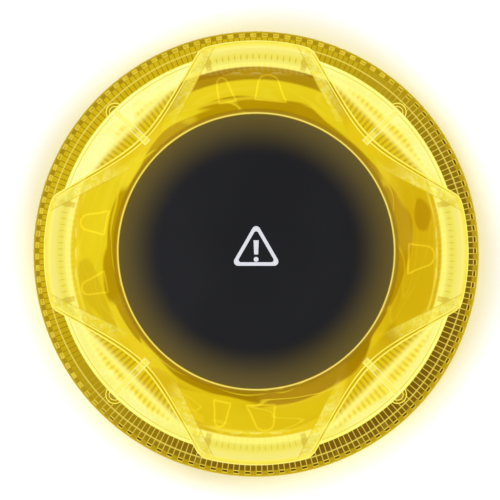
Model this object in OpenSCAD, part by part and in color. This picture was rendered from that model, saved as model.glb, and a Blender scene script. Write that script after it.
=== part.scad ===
// Puck-shaped warning beacon: an amber lens over a light engine, radio
// electronics in a sealed core, three cells, and a magnetic base.
// The origin is the centre of the face it stands on, with +Z up.

/* [Overall] */
// Diameter over the skirt's smooth upper band
outer_d = 100; // [98:1:124]
// Height from the standing face to the top of the cap
body_h = 41; // [40:1:52]
// Diameter of the dark cap on top
cap_d = 58.2; // [57:0.2:60]

/* [Lens] */
// Wall of the lens
lens_wall = 1.7; // [1.4:0.1:1.9]
// Width of the flat shelf outside the four lobes
shelf_w = 3.8; // [3.4:0.1:4.4]
// How far the lobes stand out from the drum between them
lobe_step = 2.2; // [1.8:0.1:2.6]
// Height of the cap's top above the shoulder of the lobes
lobe_drop = 12.6; // [11:0.2:14]
// Height of the lobes' shoulder above the drum's shoulder
drum_drop = 1.5; // [1:0.1:2.5]
// Distance from the cap's edge to the tip of each diagonal window
window_start = 5.5; // [4:0.1:7]
// Softness of the window's pointed edge
window_soft = 3; // [2:0.2:5]
// Slope of the window's two straight flanks
window_slope = 0.347; // [0.3:0.01:0.4]
// Thickness of the flat shelf
shelf_t = 1.8; // [1.2:0.1:2.4]
// Wall of the skirt behind its teeth
skirt_wall = 1.2; // [1:0.1:1.4]
// Height of one skirt tooth
tooth_h = 0.5; // [0.3:0.1:0.6]
// Height of the smooth band above the skirt's teeth
band_h = 1.6; // [0.8:0.1:3]
// Number of skirt teeth
tooth_count = 120; // [80:4:140]
// Thickness of the ribs under the windows
rib_t = 1.3; // [1:0.1:2]

/* [Light engine] */
// Number of flutes in the diffuser
flute_count = 200; // [120:4:220]
// Depth of one flute
flute_h = 0.25; // [0.15:0.05:0.3]
// Wall of the diffuser behind its flutes
diffuser_wall = 0.5; // [0.4:0.1:0.6]
// Height of the diffuser
diffuser_h = 12; // [10:0.5:12.2]
// Wall of the eight-sided reflector
reflector_wall = 1.4; // [1:0.1:1.8]
// Thickness of the reflector's tray and foot
tray_t = 1.2; // [0.8:0.1:1.4]
// Length of each lamp board along its side of the reflector
lamp_board_w = 15; // [13:0.5:15.5]
// Height of each lamp board
lamp_board_h = 8; // [7:0.5:8.5]
// Thickness of each lamp board
lamp_board_t = 0.8; // [0.6:0.1:1]
// Side of one lamp
lamp_w = 3; // [2.5:0.1:3.2]
// How far a lamp stands out from its board
lamp_t = 0.7; // [0.5:0.1:0.8]
// Lamps on each board
lamps_per_board = 3; // [2:1:4]

/* [Base] */
// Thickness of the soft pad under the base
pad_t = 1.2; // [1:0.1:1.6]
// Thickness of the base's floor
floor_t = 3.2; // [3.2:0.1:3.8]
// Height of the base's rim above its floor
rim_h = 5.2; // [5:0.1:6]
// Wall of the base's rim
rim_wall = 1.7; // [1.4:0.1:2]
// Thickness of the gasket between base and lens
gasket_t = 1.6; // [1.2:0.1:1.8]
// Diameter of one magnet
magnet_d = 10; // [8:0.5:10]
// Thickness of one magnet
magnet_t = 2.2; // [1.5:0.1:2.2]
// Number of magnets, evenly spaced
magnet_count = 6; // [2:2:6]
// Diameter of a housing screw's shank
screw_d = 2.4; // [2:0.1:2.5]
// Diameter of a housing screw's head
screw_head_d = 4.4; // [3.8:0.1:4.6]

/* [Batteries] */
// Diameter of one cell
cell_d = 10.5; // [10:0.1:10.5]
// Length of one cell with its contact
cell_l = 44.5; // [43:0.5:44.5]
// Distance between the cells' axes
cell_pitch = 11.4; // [11:0.1:11.4]
// Room for a contact spring at the end of a cell
spring_room = 5.5; // [4.5:0.1:5.6]
// Wall of the battery holder
holder_wall = 1.6; // [1.2:0.1:2]
// Diameter of the battery door
door_d = 59.8; // [59.6:0.1:60.2]

/* [Button] */
// Diameter of the power button
button_d = 9; // [8:0.2:9.4]
// Travel of the power button
button_travel = 0.8; // [0.4:0.1:0.8]
// How far the button sits above the standing face
button_recess = 0.9; // [0.6:0.1:1.2]

/* [Core] */
// Wall of the core housing
core_wall = 1.6; // [1.2:0.1:1.8]
// Thickness of the main board
board_t = 1.6; // [1:0.1:1.8]
// Distance between the two boards
board_gap = 9; // [7:0.5:9.2]
// Thickness of the aerial board
aerial_board_t = 1.2; // [0.8:0.1:1.4]
// Side of the satellite positioning aerial
patch_w = 18; // [12:1:20]
// Height of the satellite positioning aerial
patch_h = 4; // [2:0.5:4]

/* [Fits] */
// Gap between pieces that slide or turn on each other
turn_gap = 0.3; // [0.3:0.05:0.4]
// Gap round pieces that stay where they are put
seat_gap = 0.1; // [0.05:0.05:0.2]
// Radial gap of a guided shaft in its hole
guide_gap = 0.08; // [0.05:0.01:0.1]

/* [Hidden] */
$fn = 128;
eps = 0.01;

// Heights, from the standing face up
floor_z = pad_t;
floor_top = floor_z + floor_t;
rim_top = floor_top + rim_h;
shelf_under = rim_top + gasket_t;
shelf_top = shelf_under + shelf_t;
foot_z = shelf_under + 1.2;
lamp_board_z = foot_z + tray_t + 2.2;
foot_top = foot_z + tray_t;
lobe_z = body_h - lobe_drop;
drum_z = lobe_z - drum_drop;
crown_z = body_h - 1.1;
cap_t = 1.8;
cap_under = body_h - cap_t;
neck_t = 2.3;
neck_under = cap_under - neck_t;
skirt_bottom = floor_top + turn_gap;

// Radii, from the skirt inwards
skirt_r = outer_d / 2;
tooth_tip_r = skirt_r - 0.4;
skirt_root_r = tooth_tip_r - tooth_h;
skirt_in_r = skirt_root_r - skirt_wall;
rim_r = skirt_in_r - 0.5;
lobe_r = skirt_r - shelf_w;
drum_r = lobe_r - lobe_step;
drum_in_r = drum_r - lens_wall;
diffuser_r = drum_in_r - 0.5;
flute_root_r = diffuser_r - diffuser_wall;
flute_tip_r = flute_root_r - flute_h;
reflector_a = drum_in_r - 3.7;
lamp_face_a = reflector_a + lamp_board_t;
upstand_r = reflector_a + 1.5;
upstand_wall = 2;
base_r = skirt_r - 0.6;
pad_r = base_r - 2.6;
gasket_out_r = rim_r - 0.2;
gasket_in_r = rim_r - rim_wall + 0.2;

// The cap and its neck
cap_r = cap_d / 2;
collar_wall = 0.9;
collar_r = cap_r + seat_gap + collar_wall;
neck_r = cap_r - 2.3;
spigot_r = neck_r - seat_gap;
spigot_wall = 1;
cap_groove_in = neck_r + 0.4;
cap_groove_w = 1.5;
cap_groove_h = 0.7;
window_start_r = cap_r + window_start;

// The crown bulges above the straight line from collar to shoulder
crown_bulge = 1.1;
drum_bulge = 0.5;
arc_steps = 8;
window_steps = 14;
window_half_w = 26;

// Screws and their posts stand on the four diagonals
diagonals = [45, 135, 225, 315];
screw_at_r = drum_r + 0.3;
post_r = 2.1;
post_top = shelf_top + 6;
screw_top = post_top - 2;
screw_head_h = 1.35;
screw_slot = [2.8, 0.5, 1.1];
screw_hole_r = screw_d / 2 + 0.05;
base_post_r = 2.6;

// The magnet and button ring lies between door and pad edge
ring_r = lobe_r - 7.7;
magnet_pocket_r = magnet_d / 2 + seat_gap;
button_at = [0, -ring_r, 0];
button_r = button_d / 2;
button_hole_r = button_r + guide_gap;
button_flange_r = button_r + 0.8;
button_flange_t = 0.8;
button_flange_z = floor_top + 0.05;
tower_bore_r = button_flange_r + turn_gap;
tower_r = tower_bore_r + 1.2;
tower_top = floor_top + 4.8;
stem_r = 1.5;
stem_top = button_flange_z + button_flange_t + 2.3;
plunger_r = 1.2;
plunger_l = 2.3;
plunger_hole_h = plunger_l - (tower_top - stem_top) + button_travel + 0.2;
switch_w = 10;
switch_h = 2;
switch_board_w = 10.6;
switch_board_t = 0.8;
switch_top = tower_top + switch_h;
seal_ring_r = 0.45;
button_seal_z = floor_z + 2;
button_spring_r = 3.4;
button_wire_r = 0.25;

// The bayonet door
door_r = door_d / 2;
door_hole_r = door_r + turn_gap;
lip_t = 1.6;
lip_top = floor_z + lip_t;
door_z = floor_z + 0.2;
door_top = floor_top - 0.4;
lug_l = 1.4;
lug_z = lip_top + 0.2;
lug_t = door_top - lug_z - 0.1;
lug_angle = 24;
lug_turn = 40;
lug_room_r = door_r + lug_l + turn_gap;
door_seal_r = 0.5;
door_seal_z = floor_z + 0.9;
seal_groove_w = 1.1;
coin_slot = [24, 2.4, 1.2];
grip_r = 7;
grip_at = 18;
grip_depth = 1;

// Cells and their holder
holder_in_x = (cell_l + spring_room + 0.8) / 2;
holder_in_y = cell_pitch + cell_d / 2 + 0.55;
holder_x = holder_in_x + holder_wall;
holder_y = holder_in_y + holder_wall;
cell_z = floor_top + 0.35 + cell_d / 2;
holder_in_top = cell_z + cell_d / 2 + 0.75;
holder_top = holder_in_top + holder_wall;
contact_t = 0.4;
contact_w = 8;
contact_h = 9;
nub_r = 1.9;
nub_l = 1;
spring_wire = 0.6;
spring_foot_r = 3.4;
spring_tip_r = 2;

// The core housing and what it holds
core_z = holder_top + 0.2;
core_r = cap_r - 1.1;
core_in_r = core_r - core_wall;
core_floor = core_z + core_wall;
core_top = neck_under - 0.1;
standoff_h = 2.8;
board_z = core_floor + standoff_h;
board_top = board_z + board_t;
switch_lead_z = board_z - 1.2;
board_r = core_in_r - 0.8;
aerial_z = board_top + board_gap;
aerial_top = aerial_z + aerial_board_t;
aerial_board_r = board_r - 1.1;
ledge_t = 1.2;
ledge_top = foot_top + diffuser_h + 0.6;
ledge_r = core_r + 2.5;
spacer_at_r = board_r - 4.1;
spacer_r = 2;
stud_r = 0.9;
spacer_angles = [30, 150, 270];
lead_w = 6;
lead_t = 0.3;
lead_room = 0.2;
lead_lap = 1.5;
battery_lead_r = 0.6;
battery_lead_at = [[-6, 18, 0], [6, 18, 0]];

// What stands on the two boards
modem_at = [-12, -9];
modem_size = [16, 14, 2.6];
sim_at = [6, 1];
sim_size = [6, 5, 0.8];
controller_at = [7, -7];
controller_size = [7, 7, 0.9];
inductor_at = [-3, 11];
inductor_size = [6, 6, 3];
inductor_bore_r = 1.6;
board_screw_head_r = 1.8;
board_screw_head_h = 1.2;
board_slot = [2.6, 0.4, 1];
cellular_at = [-11, -min(15.5, spacer_at_r - board_screw_head_r - turn_gap)];
cellular_size = [22, 5, 3];

function lerp(a, b, t) = a + (b - a) * t;

// A shallow bulge between two [r, z] points
function bulged(a, b, bulge, n) = [
    for (i = [0 : n])
        let (t = i / n)
        [lerp(a[0], b[0], t) + bulge * 2 * t * (1 - t), lerp(a[1], b[1], t) + bulge * 4 * t * (1 - t)]
];

// Distance of the window's edge from the axis, y across the diagonal
function window_edge(y) =
    window_start_r + sqrt(pow(window_soft, 2) + pow(window_slope * y, 2)) - window_soft;

// Height of the straight line under the crown at radius r
function crown_line(r) =
    crown_z - (r - collar_r) * (crown_z - lobe_z) / (lobe_r - collar_r);

shoulder = 1.6;
lens_skew = lens_wall * 0.7;
crown_start = [collar_r, crown_z];
crown_end = [lobe_r - shoulder, lobe_z + 0.4];
drum_start = [window_start_r - 0.5, crown_line(window_start_r) + 0.7];
drum_end = [drum_r - 0.8, drum_z + 0.5];

// The reflector's corners stay clear of the diffuser's flutes and of the dome over them
reflector_top = ledge_top + tray_t;
dome_slope = (drum_start[1] - drum_end[1]) / (drum_end[0] - drum_start[0]);
dome_over_corner = drum_end[1] - lens_skew - reflector_top - turn_gap;
reflector_round_r = min(flute_tip_r - 0.4, drum_end[0] - lens_skew + dome_over_corner / dome_slope);

// Solid of revolution under the crown, moved inwards by wall
module crown_solid(wall, bottom) {
    inner_end = crown_end - [wall * 0.6, wall * 0.8];
    top = bulged(crown_start - [0, wall], inner_end, crown_bulge, arc_steps);
    rotate_extrude()
        polygon(concat(
            [[0, bottom], [0, crown_z - wall]],
            top,
            [[lobe_r - wall, lobe_z - shoulder], [lobe_r - wall, bottom]]
        ));
}

// Solid of revolution under the drum, moved inwards by wall
module drum_solid(wall, bottom) {
    skew = [wall * 0.7, wall * 0.7];
    top = bulged(drum_start - skew, drum_end - skew, drum_bulge, arc_steps);
    rotate_extrude()
        polygon(concat(
            [[0, bottom], [0, drum_start[1] - wall]],
            top,
            [[drum_r - wall, drum_z - 0.8], [drum_r - wall, bottom]]
        ));
}

// The four areas cut away for the windows, each edge moved inwards by inset
module window_cuts(inset) {
    edge = [
        for (i = [-window_steps : window_steps])
            let (y = i * window_half_w / window_steps)
            [window_edge(y) - inset, y]
    ];
    for (a = diagonals)
        rotate([0, 0, a])
        translate([0, 0, -eps])
        linear_extrude(body_h + 1)
            polygon(concat(edge, [[skirt_r + 10, window_half_w], [skirt_r + 10, -window_half_w]]));
}

// Drum with four lobes, moved inwards by wall
module lens_form(wall, bottom) {
    difference() {
        crown_solid(wall, bottom);
        window_cuts(wall);
    }
    drum_solid(wall, bottom);
}

module ring(r_out, r_in, z0, z1) {
    translate([0, 0, z0])
    difference() {
        cylinder(h = z1 - z0, r = r_out);
        translate([0, 0, -1])
            cylinder(h = z1 - z0 + 2, r = r_in);
    }
}

module torus(ring_radius, wire_radius, z) {
    translate([0, 0, z])
    rotate_extrude()
    translate([ring_radius, 0])
        circle(r = wire_radius, $fn = 32);
}

module on_diagonals(r) {
    for (a = diagonals)
        rotate([0, 0, a])
        translate([r, 0, 0])
            children();
}

// Toothed outline: each tooth is half of its pitch wide
module toothed_outline(root_r, tip_r, count) {
    pitch = 360 / count;
    polygon([
        for (i = [0 : count - 1], s = [[0, root_r], [0.02, tip_r], [0.5, tip_r], [0.52, root_r]])
            [s[1] * cos((i + s[0]) * pitch), s[1] * sin((i + s[0]) * pitch)]
    ]);
}

module lens_ribs() {
    rib_in = window_start_r - 1.6;
    rib_drop = lens_wall + 1.4;
    on_diagonals(0)
    rotate([90, 0, 0])
    translate([0, 0, -rib_t / 2])
    linear_extrude(rib_t)
        polygon([
            [rib_in, drum_start[1] - rib_drop],
            [rib_in, crown_line(rib_in) - lens_wall / 2],
            drum_start - [0, lens_wall / 2],
            drum_end - [0.8, lens_wall / 2],
            [drum_in_r + 0.4, drum_z - 1],
            [drum_in_r - 0.6, drum_z - 0.3],
        ]);
}

module lens_cover() {
    color([1, 0.74, 0.05, 0.55])
    difference() {
        union() {
            difference() {
                union() {
                    lens_form(0, shelf_under);
                    ring(skirt_root_r, drum_in_r, shelf_under, shelf_top);
                    ring(collar_r, cap_r - 1, cap_under - 1, body_h - 0.4);
                }
                lens_form(lens_wall, shelf_under - 1);
            }
            lens_ribs();
            on_diagonals(screw_at_r)
            translate([0, 0, shelf_under])
                cylinder(h = post_top - shelf_under, r = post_r);
            translate([0, 0, skirt_bottom])
            linear_extrude(shelf_top - skirt_bottom)
            difference() {
                toothed_outline(skirt_root_r, tooth_tip_r, tooth_count);
                circle(r = skirt_in_r, $fn = 2 * tooth_count);
            }
            ring(skirt_r, skirt_root_r - eps, shelf_top - band_h, shelf_top);
            ring(cap_r - 1, neck_r, neck_under, cap_under);
        }
        on_diagonals(screw_at_r)
        translate([0, 0, shelf_under - 1])
            cylinder(h = screw_top - shelf_under + 1.3, r = screw_hole_r);
        translate([0, 0, cap_under])
            cylinder(h = cap_t + 1, r = cap_r + seat_gap);
        translate([0, 0, neck_under - 1])
            cylinder(h = neck_t + 2, r = neck_r);
    }
}

module top_cap() {
    edge = 0.5;
    color([0.14, 0.145, 0.15])
    difference() {
        union() {
            rotate_extrude()
                polygon([
                    [0, cap_under], [0, body_h], [cap_r - edge, body_h],
                    [cap_r - edge * 0.3, body_h - edge * 0.3], [cap_r, body_h - edge], [cap_r, cap_under],
                ]);
            ring(spigot_r, spigot_r - spigot_wall, neck_under + 0.1, cap_under + eps);
        }
        ring(cap_groove_in + cap_groove_w, cap_groove_in, cap_under - 0.5, cap_under + cap_groove_h);
    }
}

module cap_gasket() {
    color([0.08, 0.08, 0.08])
        ring(cap_groove_in + cap_groove_w - seat_gap, cap_groove_in + seat_gap,
             cap_under, cap_under + cap_groove_h);
}

module core_housing() {
    color([0.2, 0.2, 0.21])
    difference() {
        union() {
            ring(core_r, core_in_r, core_z, core_top);
            translate([0, 0, core_z])
                cylinder(h = core_wall, r = core_r);
            ring(ledge_r, core_r - eps, ledge_top - ledge_t, ledge_top);
            for (a = spacer_angles)
                rotate([0, 0, a])
                translate([spacer_at_r, 0, core_z])
                    cylinder(h = core_wall + standoff_h, r = spacer_r + 0.6);
        }
        for (a = spacer_angles)
            rotate([0, 0, a])
            translate([spacer_at_r, 0, core_z + 0.8])
                cylinder(h = core_wall + standoff_h, r = stud_r + 0.05);
        for (at = battery_lead_at)
            translate(at)
            translate([0, 0, core_z - 1])
                cylinder(h = core_wall + 2, r = battery_lead_r + 0.4);
        for (a = [0, 90, 180, 270])
            rotate([0, 0, a])
            translate([core_in_r - 1, -lead_w / 2 - lead_room, board_top - lead_room])
                cube([core_wall + 2, lead_w + 2 * lead_room, lead_t + 2 * lead_room]);
        translate([-lead_w / 2 - lead_room, -core_r - 1, switch_lead_z - lead_room])
            cube([lead_w + 2 * lead_room, core_wall + 2, lead_t + 2 * lead_room]);
    }
}

module main_board() {
    color([0.05, 0.3, 0.14])
    difference() {
        translate([0, 0, board_z])
            cylinder(h = board_t, r = board_r);
        for (a = spacer_angles)
            rotate([0, 0, a])
            translate([spacer_at_r, 0, board_z - 1])
                cylinder(h = board_t + 2, r = stud_r + seat_gap);
    }
}

module modem_module() {
    color([0.75, 0.76, 0.77])
    translate([modem_at[0], modem_at[1], board_top])
        cube(modem_size);
}

module sim_chip() {
    color([0.1, 0.1, 0.1])
    translate([sim_at[0], sim_at[1], board_top])
        cube(sim_size);
}

module controller_chip() {
    color([0.08, 0.08, 0.09])
    translate([controller_at[0], controller_at[1], board_top])
        cube(controller_size);
}

module boost_inductor() {
    color([0.25, 0.25, 0.26])
    translate([inductor_at[0], inductor_at[1], board_top])
    difference() {
        cube(inductor_size);
        translate(inductor_size - [inductor_size[0] / 2, inductor_size[1] / 2, 0.4])
            cylinder(h = 1, r = inductor_bore_r, $fn = 48);
    }
}

module board_spacers() {
    color([0.8, 0.65, 0.3])
    for (a = spacer_angles)
        rotate([0, 0, a])
        translate([spacer_at_r, 0, 0]) {
            difference() {
                translate([0, 0, board_top])
                    cylinder(h = board_gap, r = spacer_r, $fn = 6);
                translate([0, 0, aerial_z - 4])
                    cylinder(h = 5, r = stud_r + 0.05);
            }
            translate([0, 0, core_z + 1.2])
                cylinder(h = board_top - core_z - 1.2 + eps, r = stud_r);
        }
}

module board_screws() {
    color([0.75, 0.75, 0.77])
    for (a = spacer_angles)
        rotate([0, 0, a])
        translate([spacer_at_r, 0, 0])
        difference() {
            union() {
                translate([0, 0, aerial_z - 3.4])
                    cylinder(h = aerial_top - aerial_z + 3.4 + eps, r = stud_r);
                translate([0, 0, aerial_top])
                    cylinder(h = board_screw_head_h, r = board_screw_head_r);
            }
            for (a = [0, 90])
                rotate([0, 0, a])
                translate([-board_slot[0] / 2, -board_slot[1] / 2, aerial_top + board_screw_head_h - 0.5])
                    cube(board_slot);
        }
}

module aerial_board() {
    color([0.05, 0.3, 0.14])
    difference() {
        translate([0, 0, aerial_z])
            cylinder(h = aerial_board_t, r = aerial_board_r);
        for (a = spacer_angles)
            rotate([0, 0, a])
            translate([spacer_at_r, 0, aerial_z - 1])
                cylinder(h = aerial_board_t + 2, r = stud_r + seat_gap);
    }
}

module positioning_aerial() {
    color([0.72, 0.62, 0.45])
    translate([-patch_w / 2, -patch_w / 2 + 3, aerial_top])
        cube([patch_w, patch_w, patch_h]);
}

module cellular_aerial() {
    color([0.85, 0.85, 0.8])
    translate([cellular_at[0], cellular_at[1], aerial_top])
        cube(cellular_size);
}

// Lens flutes face the lamps
module fluted_diffuser() {
    color([1, 0.9, 0.5, 0.5])
    translate([0, 0, foot_top])
    linear_extrude(diffuser_h)
    difference() {
        circle(r = diffuser_r, $fn = 2 * flute_count);
        toothed_outline(flute_tip_r, flute_root_r, flute_count);
    }
}

module eight_sided(apothem, h) {
    rotate([0, 0, 22.5])
        cylinder(h = h, r = apothem / cos(22.5), $fn = 8);
}

module reflector_tray() {
    wall_h = reflector_top - foot_z;
    color([1, 0.85, 0.3])
    difference() {
        union() {
            translate([0, 0, foot_z])
            intersection() {
                eight_sided(reflector_a, wall_h);
                cylinder(h = wall_h, r = reflector_round_r);
            }
            ring(diffuser_r, reflector_a - 2, foot_z, foot_top);
        }
        translate([0, 0, foot_z - 1])
            eight_sided(reflector_a - reflector_wall, ledge_top - foot_z + 1);
        translate([0, 0, foot_z])
            cylinder(h = wall_h + 1, r = core_r + seat_gap);
        for (a = [0, 90, 180, 270])
            rotate([0, 0, a])
            translate([reflector_a - reflector_wall - 1, -lead_w / 2 - lead_room, board_top - lead_room])
                cube([reflector_wall + 2, lead_w + 2 * lead_room, lead_t + 2 * lead_room]);
    }
}

module lamp_board(angle) {
    color([0.9, 0.9, 0.88])
    rotate([0, 0, angle])
    translate([reflector_a, -lamp_board_w / 2, lamp_board_z])
        cube([lamp_board_t, lamp_board_w, lamp_board_h]);
}

module lamp_board_east() {
    lamp_board(0);
}

module lamp_board_north() {
    lamp_board(90);
}

module lamp_board_west() {
    lamp_board(180);
}

module lamp_board_south() {
    lamp_board(270);
}

module lamps() {
    pitch = (lamp_board_w - 1.5) / lamps_per_board;
    color([1, 0.95, 0.6])
    for (a = [0, 90, 180, 270], i = [0 : lamps_per_board - 1])
        rotate([0, 0, a])
        translate([lamp_face_a, (i - (lamps_per_board - 1) / 2) * pitch - lamp_w / 2,
                   lamp_board_z + (lamp_board_h - lamp_w) / 2])
            cube([lamp_t, lamp_w, lamp_w]);
}

module lamp_leads() {
    color([0.75, 0.45, 0.1])
    for (a = [0, 90, 180, 270])
        rotate([0, 0, a])
        translate([board_r - lead_lap, -lead_w / 2, board_top])
            cube([reflector_a - board_r + lead_lap, lead_w, lead_t]);
}

module base_tray() {
    edge = 0.9;
    color([0.1, 0.1, 0.1])
    difference() {
        union() {
            rotate_extrude()
                polygon([
                    [0, floor_z], [base_r - edge, floor_z], [base_r - edge * 0.3, floor_z + edge * 0.3],
                    [base_r, floor_z + edge], [base_r, floor_top], [0, floor_top],
                ]);
            ring(rim_r, rim_r - rim_wall, floor_top - eps, rim_top);
            ring(upstand_r, upstand_r - upstand_wall, floor_top - eps, foot_z);
            on_diagonals(screw_at_r)
            translate([0, 0, floor_top - eps])
                cylinder(h = shelf_under - floor_top, r = base_post_r);
        }
        // The screw posts give way to the gasket above the rim
        ring(rim_r, gasket_in_r - seat_gap, rim_top, shelf_under + 1);
        // Door opening, its lug room and the three ways in for the lugs
        translate([0, 0, floor_z - 1])
            cylinder(h = floor_t + 2, r = door_hole_r);
        translate([0, 0, lip_top])
            cylinder(h = floor_t, r = lug_room_r);
        for (a = [0, 120, 240])
            rotate([0, 0, a + lug_turn])
            translate([0, 0, floor_z - 1])
                lug_wedge(lug_room_r - seat_gap, lug_angle + 3, lip_t + 2);
        // Magnet pockets
        for (i = [0 : magnet_count - 1])
            rotate([0, 0, i * 360 / magnet_count])
            translate([ring_r, 0, floor_z - 1])
                cylinder(h = magnet_t + 1 + seat_gap, r = magnet_pocket_r);
        // Screw holes with room for the heads
        on_diagonals(screw_at_r)
        translate([0, 0, floor_z - 1]) {
            cylinder(h = shelf_under, r = screw_hole_r);
            cylinder(h = 1 + screw_head_h + seat_gap, r = screw_head_d / 2 + 0.2);
        }
        // Button shaft, and room in the upstand for its tower
        translate(button_at)
        translate([0, 0, floor_z - 1])
            cylinder(h = floor_t + 2, r = button_hole_r);
        translate(button_at)
        translate([-switch_board_w / 2 - 1, -switch_board_w / 2 - 1, floor_top])
            cube([switch_board_w + 2, switch_board_w + 2, foot_z]);
    }
    color([0.1, 0.1, 0.1])
    translate(button_at)
        ring(tower_r, tower_bore_r, floor_top - eps, tower_top);
}

// A sector of a disc with its middle along +X
module lug_wedge(r, angle, h) {
    reach = 1.5 * r;
    intersection() {
        cylinder(h = h, r = r);
        translate([0, 0, -1])
        linear_extrude(h + 2)
            polygon([
                [0, 0],
                [reach * cos(angle / 2), -reach * sin(angle / 2)],
                [reach * cos(angle / 2), reach * sin(angle / 2)],
            ]);
    }
}

module base_gasket() {
    color([0.07, 0.07, 0.07])
        ring(gasket_out_r, gasket_in_r, rim_top, shelf_under);
}

module housing_screws() {
    color([0.7, 0.7, 0.72])
    on_diagonals(screw_at_r)
    difference() {
        union() {
            translate([0, 0, floor_z])
                cylinder(h = screw_head_h, r = screw_head_d / 2);
            translate([0, 0, floor_z + screw_head_h - eps])
                cylinder(h = screw_top - floor_z - screw_head_h, r = screw_d / 2);
        }
        for (a = [0, 90])
            rotate([0, 0, a])
            translate([-screw_slot[0] / 2, -screw_slot[1] / 2, floor_z + 0.6 - screw_slot[2]])
                cube(screw_slot);
    }
}

module magnets() {
    color([0.72, 0.73, 0.75])
    for (i = [0 : magnet_count - 1])
        rotate([0, 0, i * 360 / magnet_count])
        translate([ring_r, 0, floor_z])
            cylinder(h = magnet_t, r = magnet_d / 2);
}

module foot_pad() {
    color([0.06, 0.06, 0.06])
    difference() {
        ring(pad_r, lug_room_r + 0.4, 0, pad_t);
        translate(button_at)
        translate([0, 0, -1])
            cylinder(h = pad_t + 2, r = button_r + 0.9);
    }
}

module battery_holder() {
    color([0.16, 0.16, 0.17])
    difference() {
        translate([-holder_x, -holder_y, floor_top])
            cube([2 * holder_x, 2 * holder_y, holder_top - floor_top]);
        translate([-holder_in_x, -holder_in_y, floor_top - 1])
            cube([2 * holder_in_x, 2 * holder_in_y, holder_in_top - floor_top + 1]);
    }
}

// The cell's contact points along +X, or along -X when side is -1
module battery_cell(row, side) {
    x0 = holder_in_x - contact_t;
    translate([0, row * cell_pitch, cell_z])
    rotate([0, 0, side > 0 ? 0 : 180])
    translate([x0 - cell_l, 0, 0])
    rotate([0, 90, 0]) {
        cylinder(h = cell_l - nub_l, r = cell_d / 2);
        cylinder(h = cell_l, r = nub_r);
    }
}

module battery_cell_front() {
    color([0.15, 0.3, 0.5])
        battery_cell(-1, 1);
}

module battery_cell_middle() {
    color([0.15, 0.3, 0.5])
        battery_cell(0, -1);
}

module battery_cell_rear() {
    color([0.15, 0.3, 0.5])
        battery_cell(1, 1);
}

// A round wire wound along a helix that narrows from r0 to r1
module wound_wire(r0, r1, length, turns, wire_r) {
    sides = 6;
    steps = turns * 16;
    ring_points = [
        for (i = [0 : steps], j = [0 : sides - 1])
            let (
                t = i / steps,
                a = t * turns * 360,
                b = j * 360 / sides,
                r = lerp(r0, r1, t) + wire_r * cos(b)
            )
            [r * cos(a), r * sin(a), wire_r + (length - 2 * wire_r) * t + wire_r * sin(b)]
    ];
    sides_faces = [
        for (i = [0 : steps - 1], j = [0 : sides - 1])
            let (k = (j + 1) % sides)
            [i * sides + j, (i + 1) * sides + j, (i + 1) * sides + k, i * sides + k]
    ];
    ends = [
        [for (j = [0 : sides - 1]) j],
        [for (j = [sides - 1 : -1 : 0]) steps * sides + j],
    ];
    polyhedron(points = ring_points, faces = concat(sides_faces, ends), convexity = 10);
}

module contact_springs() {
    room = 2 * holder_in_x - 2 * contact_t - cell_l;
    color([0.8, 0.8, 0.82])
    for (row = [-1, 0, 1])
        translate([0, row * cell_pitch, cell_z])
        rotate([0, 0, row == 0 ? 180 : 0])
        translate([-holder_in_x + contact_t + 0.02, 0, 0])
        rotate([0, 90, 0])
            wound_wire(spring_foot_r, spring_tip_r, room - 0.04, 3, spring_wire / 2);
}

module contact_plates() {
    color([0.8, 0.8, 0.82])
    for (row = [-1, 0, 1], side = [-1, 1])
        translate([side * (holder_in_x - contact_t / 2), row * cell_pitch, cell_z])
            cube([contact_t, contact_w, contact_h], center = true);
}

module battery_leads() {
    color([0.7, 0.1, 0.08])
    for (at = battery_lead_at)
        translate(at)
        translate([0, 0, holder_top])
            cylinder(h = board_z - holder_top, r = battery_lead_r);
}

module battery_door() {
    color([0.12, 0.12, 0.12])
    difference() {
        union() {
            translate([0, 0, door_z])
                cylinder(h = door_top - door_z, r = door_r);
            for (a = [0, 120, 240])
                rotate([0, 0, a])
                translate([0, 0, lug_z])
                difference() {
                    lug_wedge(door_r + lug_l, lug_angle, lug_t);
                    translate([0, 0, -1])
                        cylinder(h = lug_t + 2, r = door_r - 1);
                }
        }
        difference() {
            translate([0, 0, door_seal_z - seal_groove_w / 2])
                cylinder(h = seal_groove_w, r = door_r + 1);
            translate([0, 0, door_seal_z - 1])
                cylinder(h = 2, r = door_r - 0.8);
        }
        translate([-coin_slot[0] / 2, -coin_slot[1] / 2, door_z - 1])
            cube([coin_slot[0], coin_slot[1], coin_slot[2] + 1]);
        for (side = [-1, 1])
            translate([0, side * grip_at, door_z - 1])
                cylinder(h = grip_depth + 1, r = grip_r);
    }
}

module door_seal() {
    color([0.5, 0.1, 0.08])
        torus(door_hole_r - 0.05 - door_seal_r, door_seal_r, door_seal_z);
}

module power_button() {
    color([0.75, 0.1, 0.06])
    translate(button_at)
    difference() {
        union() {
            translate([0, 0, button_recess])
                cylinder(h = button_flange_z - button_recess + eps, r = button_r);
            translate([0, 0, button_flange_z])
                cylinder(h = button_flange_t, r = button_flange_r);
            translate([0, 0, button_flange_z + button_flange_t - eps])
                cylinder(h = stem_top - button_flange_z - button_flange_t + eps, r = stem_r);
        }
        difference() {
            translate([0, 0, button_seal_z - seal_ring_r - 0.05])
                cylinder(h = 2 * seal_ring_r + 0.1, r = button_r + 1);
            translate([0, 0, button_seal_z - 1])
                cylinder(h = 2, r = button_r - 0.9);
        }
        ring(3.2, 2.6, button_recess - 1, button_recess + 0.3);
        translate([-0.3, 1.6, button_recess - 1])
            cube([0.6, 2.2, 1.3]);
    }
}

module button_seal() {
    color([0.05, 0.05, 0.05])
    translate(button_at)
        torus(button_r + 0.02 - seal_ring_r, seal_ring_r, button_seal_z);
}

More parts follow.
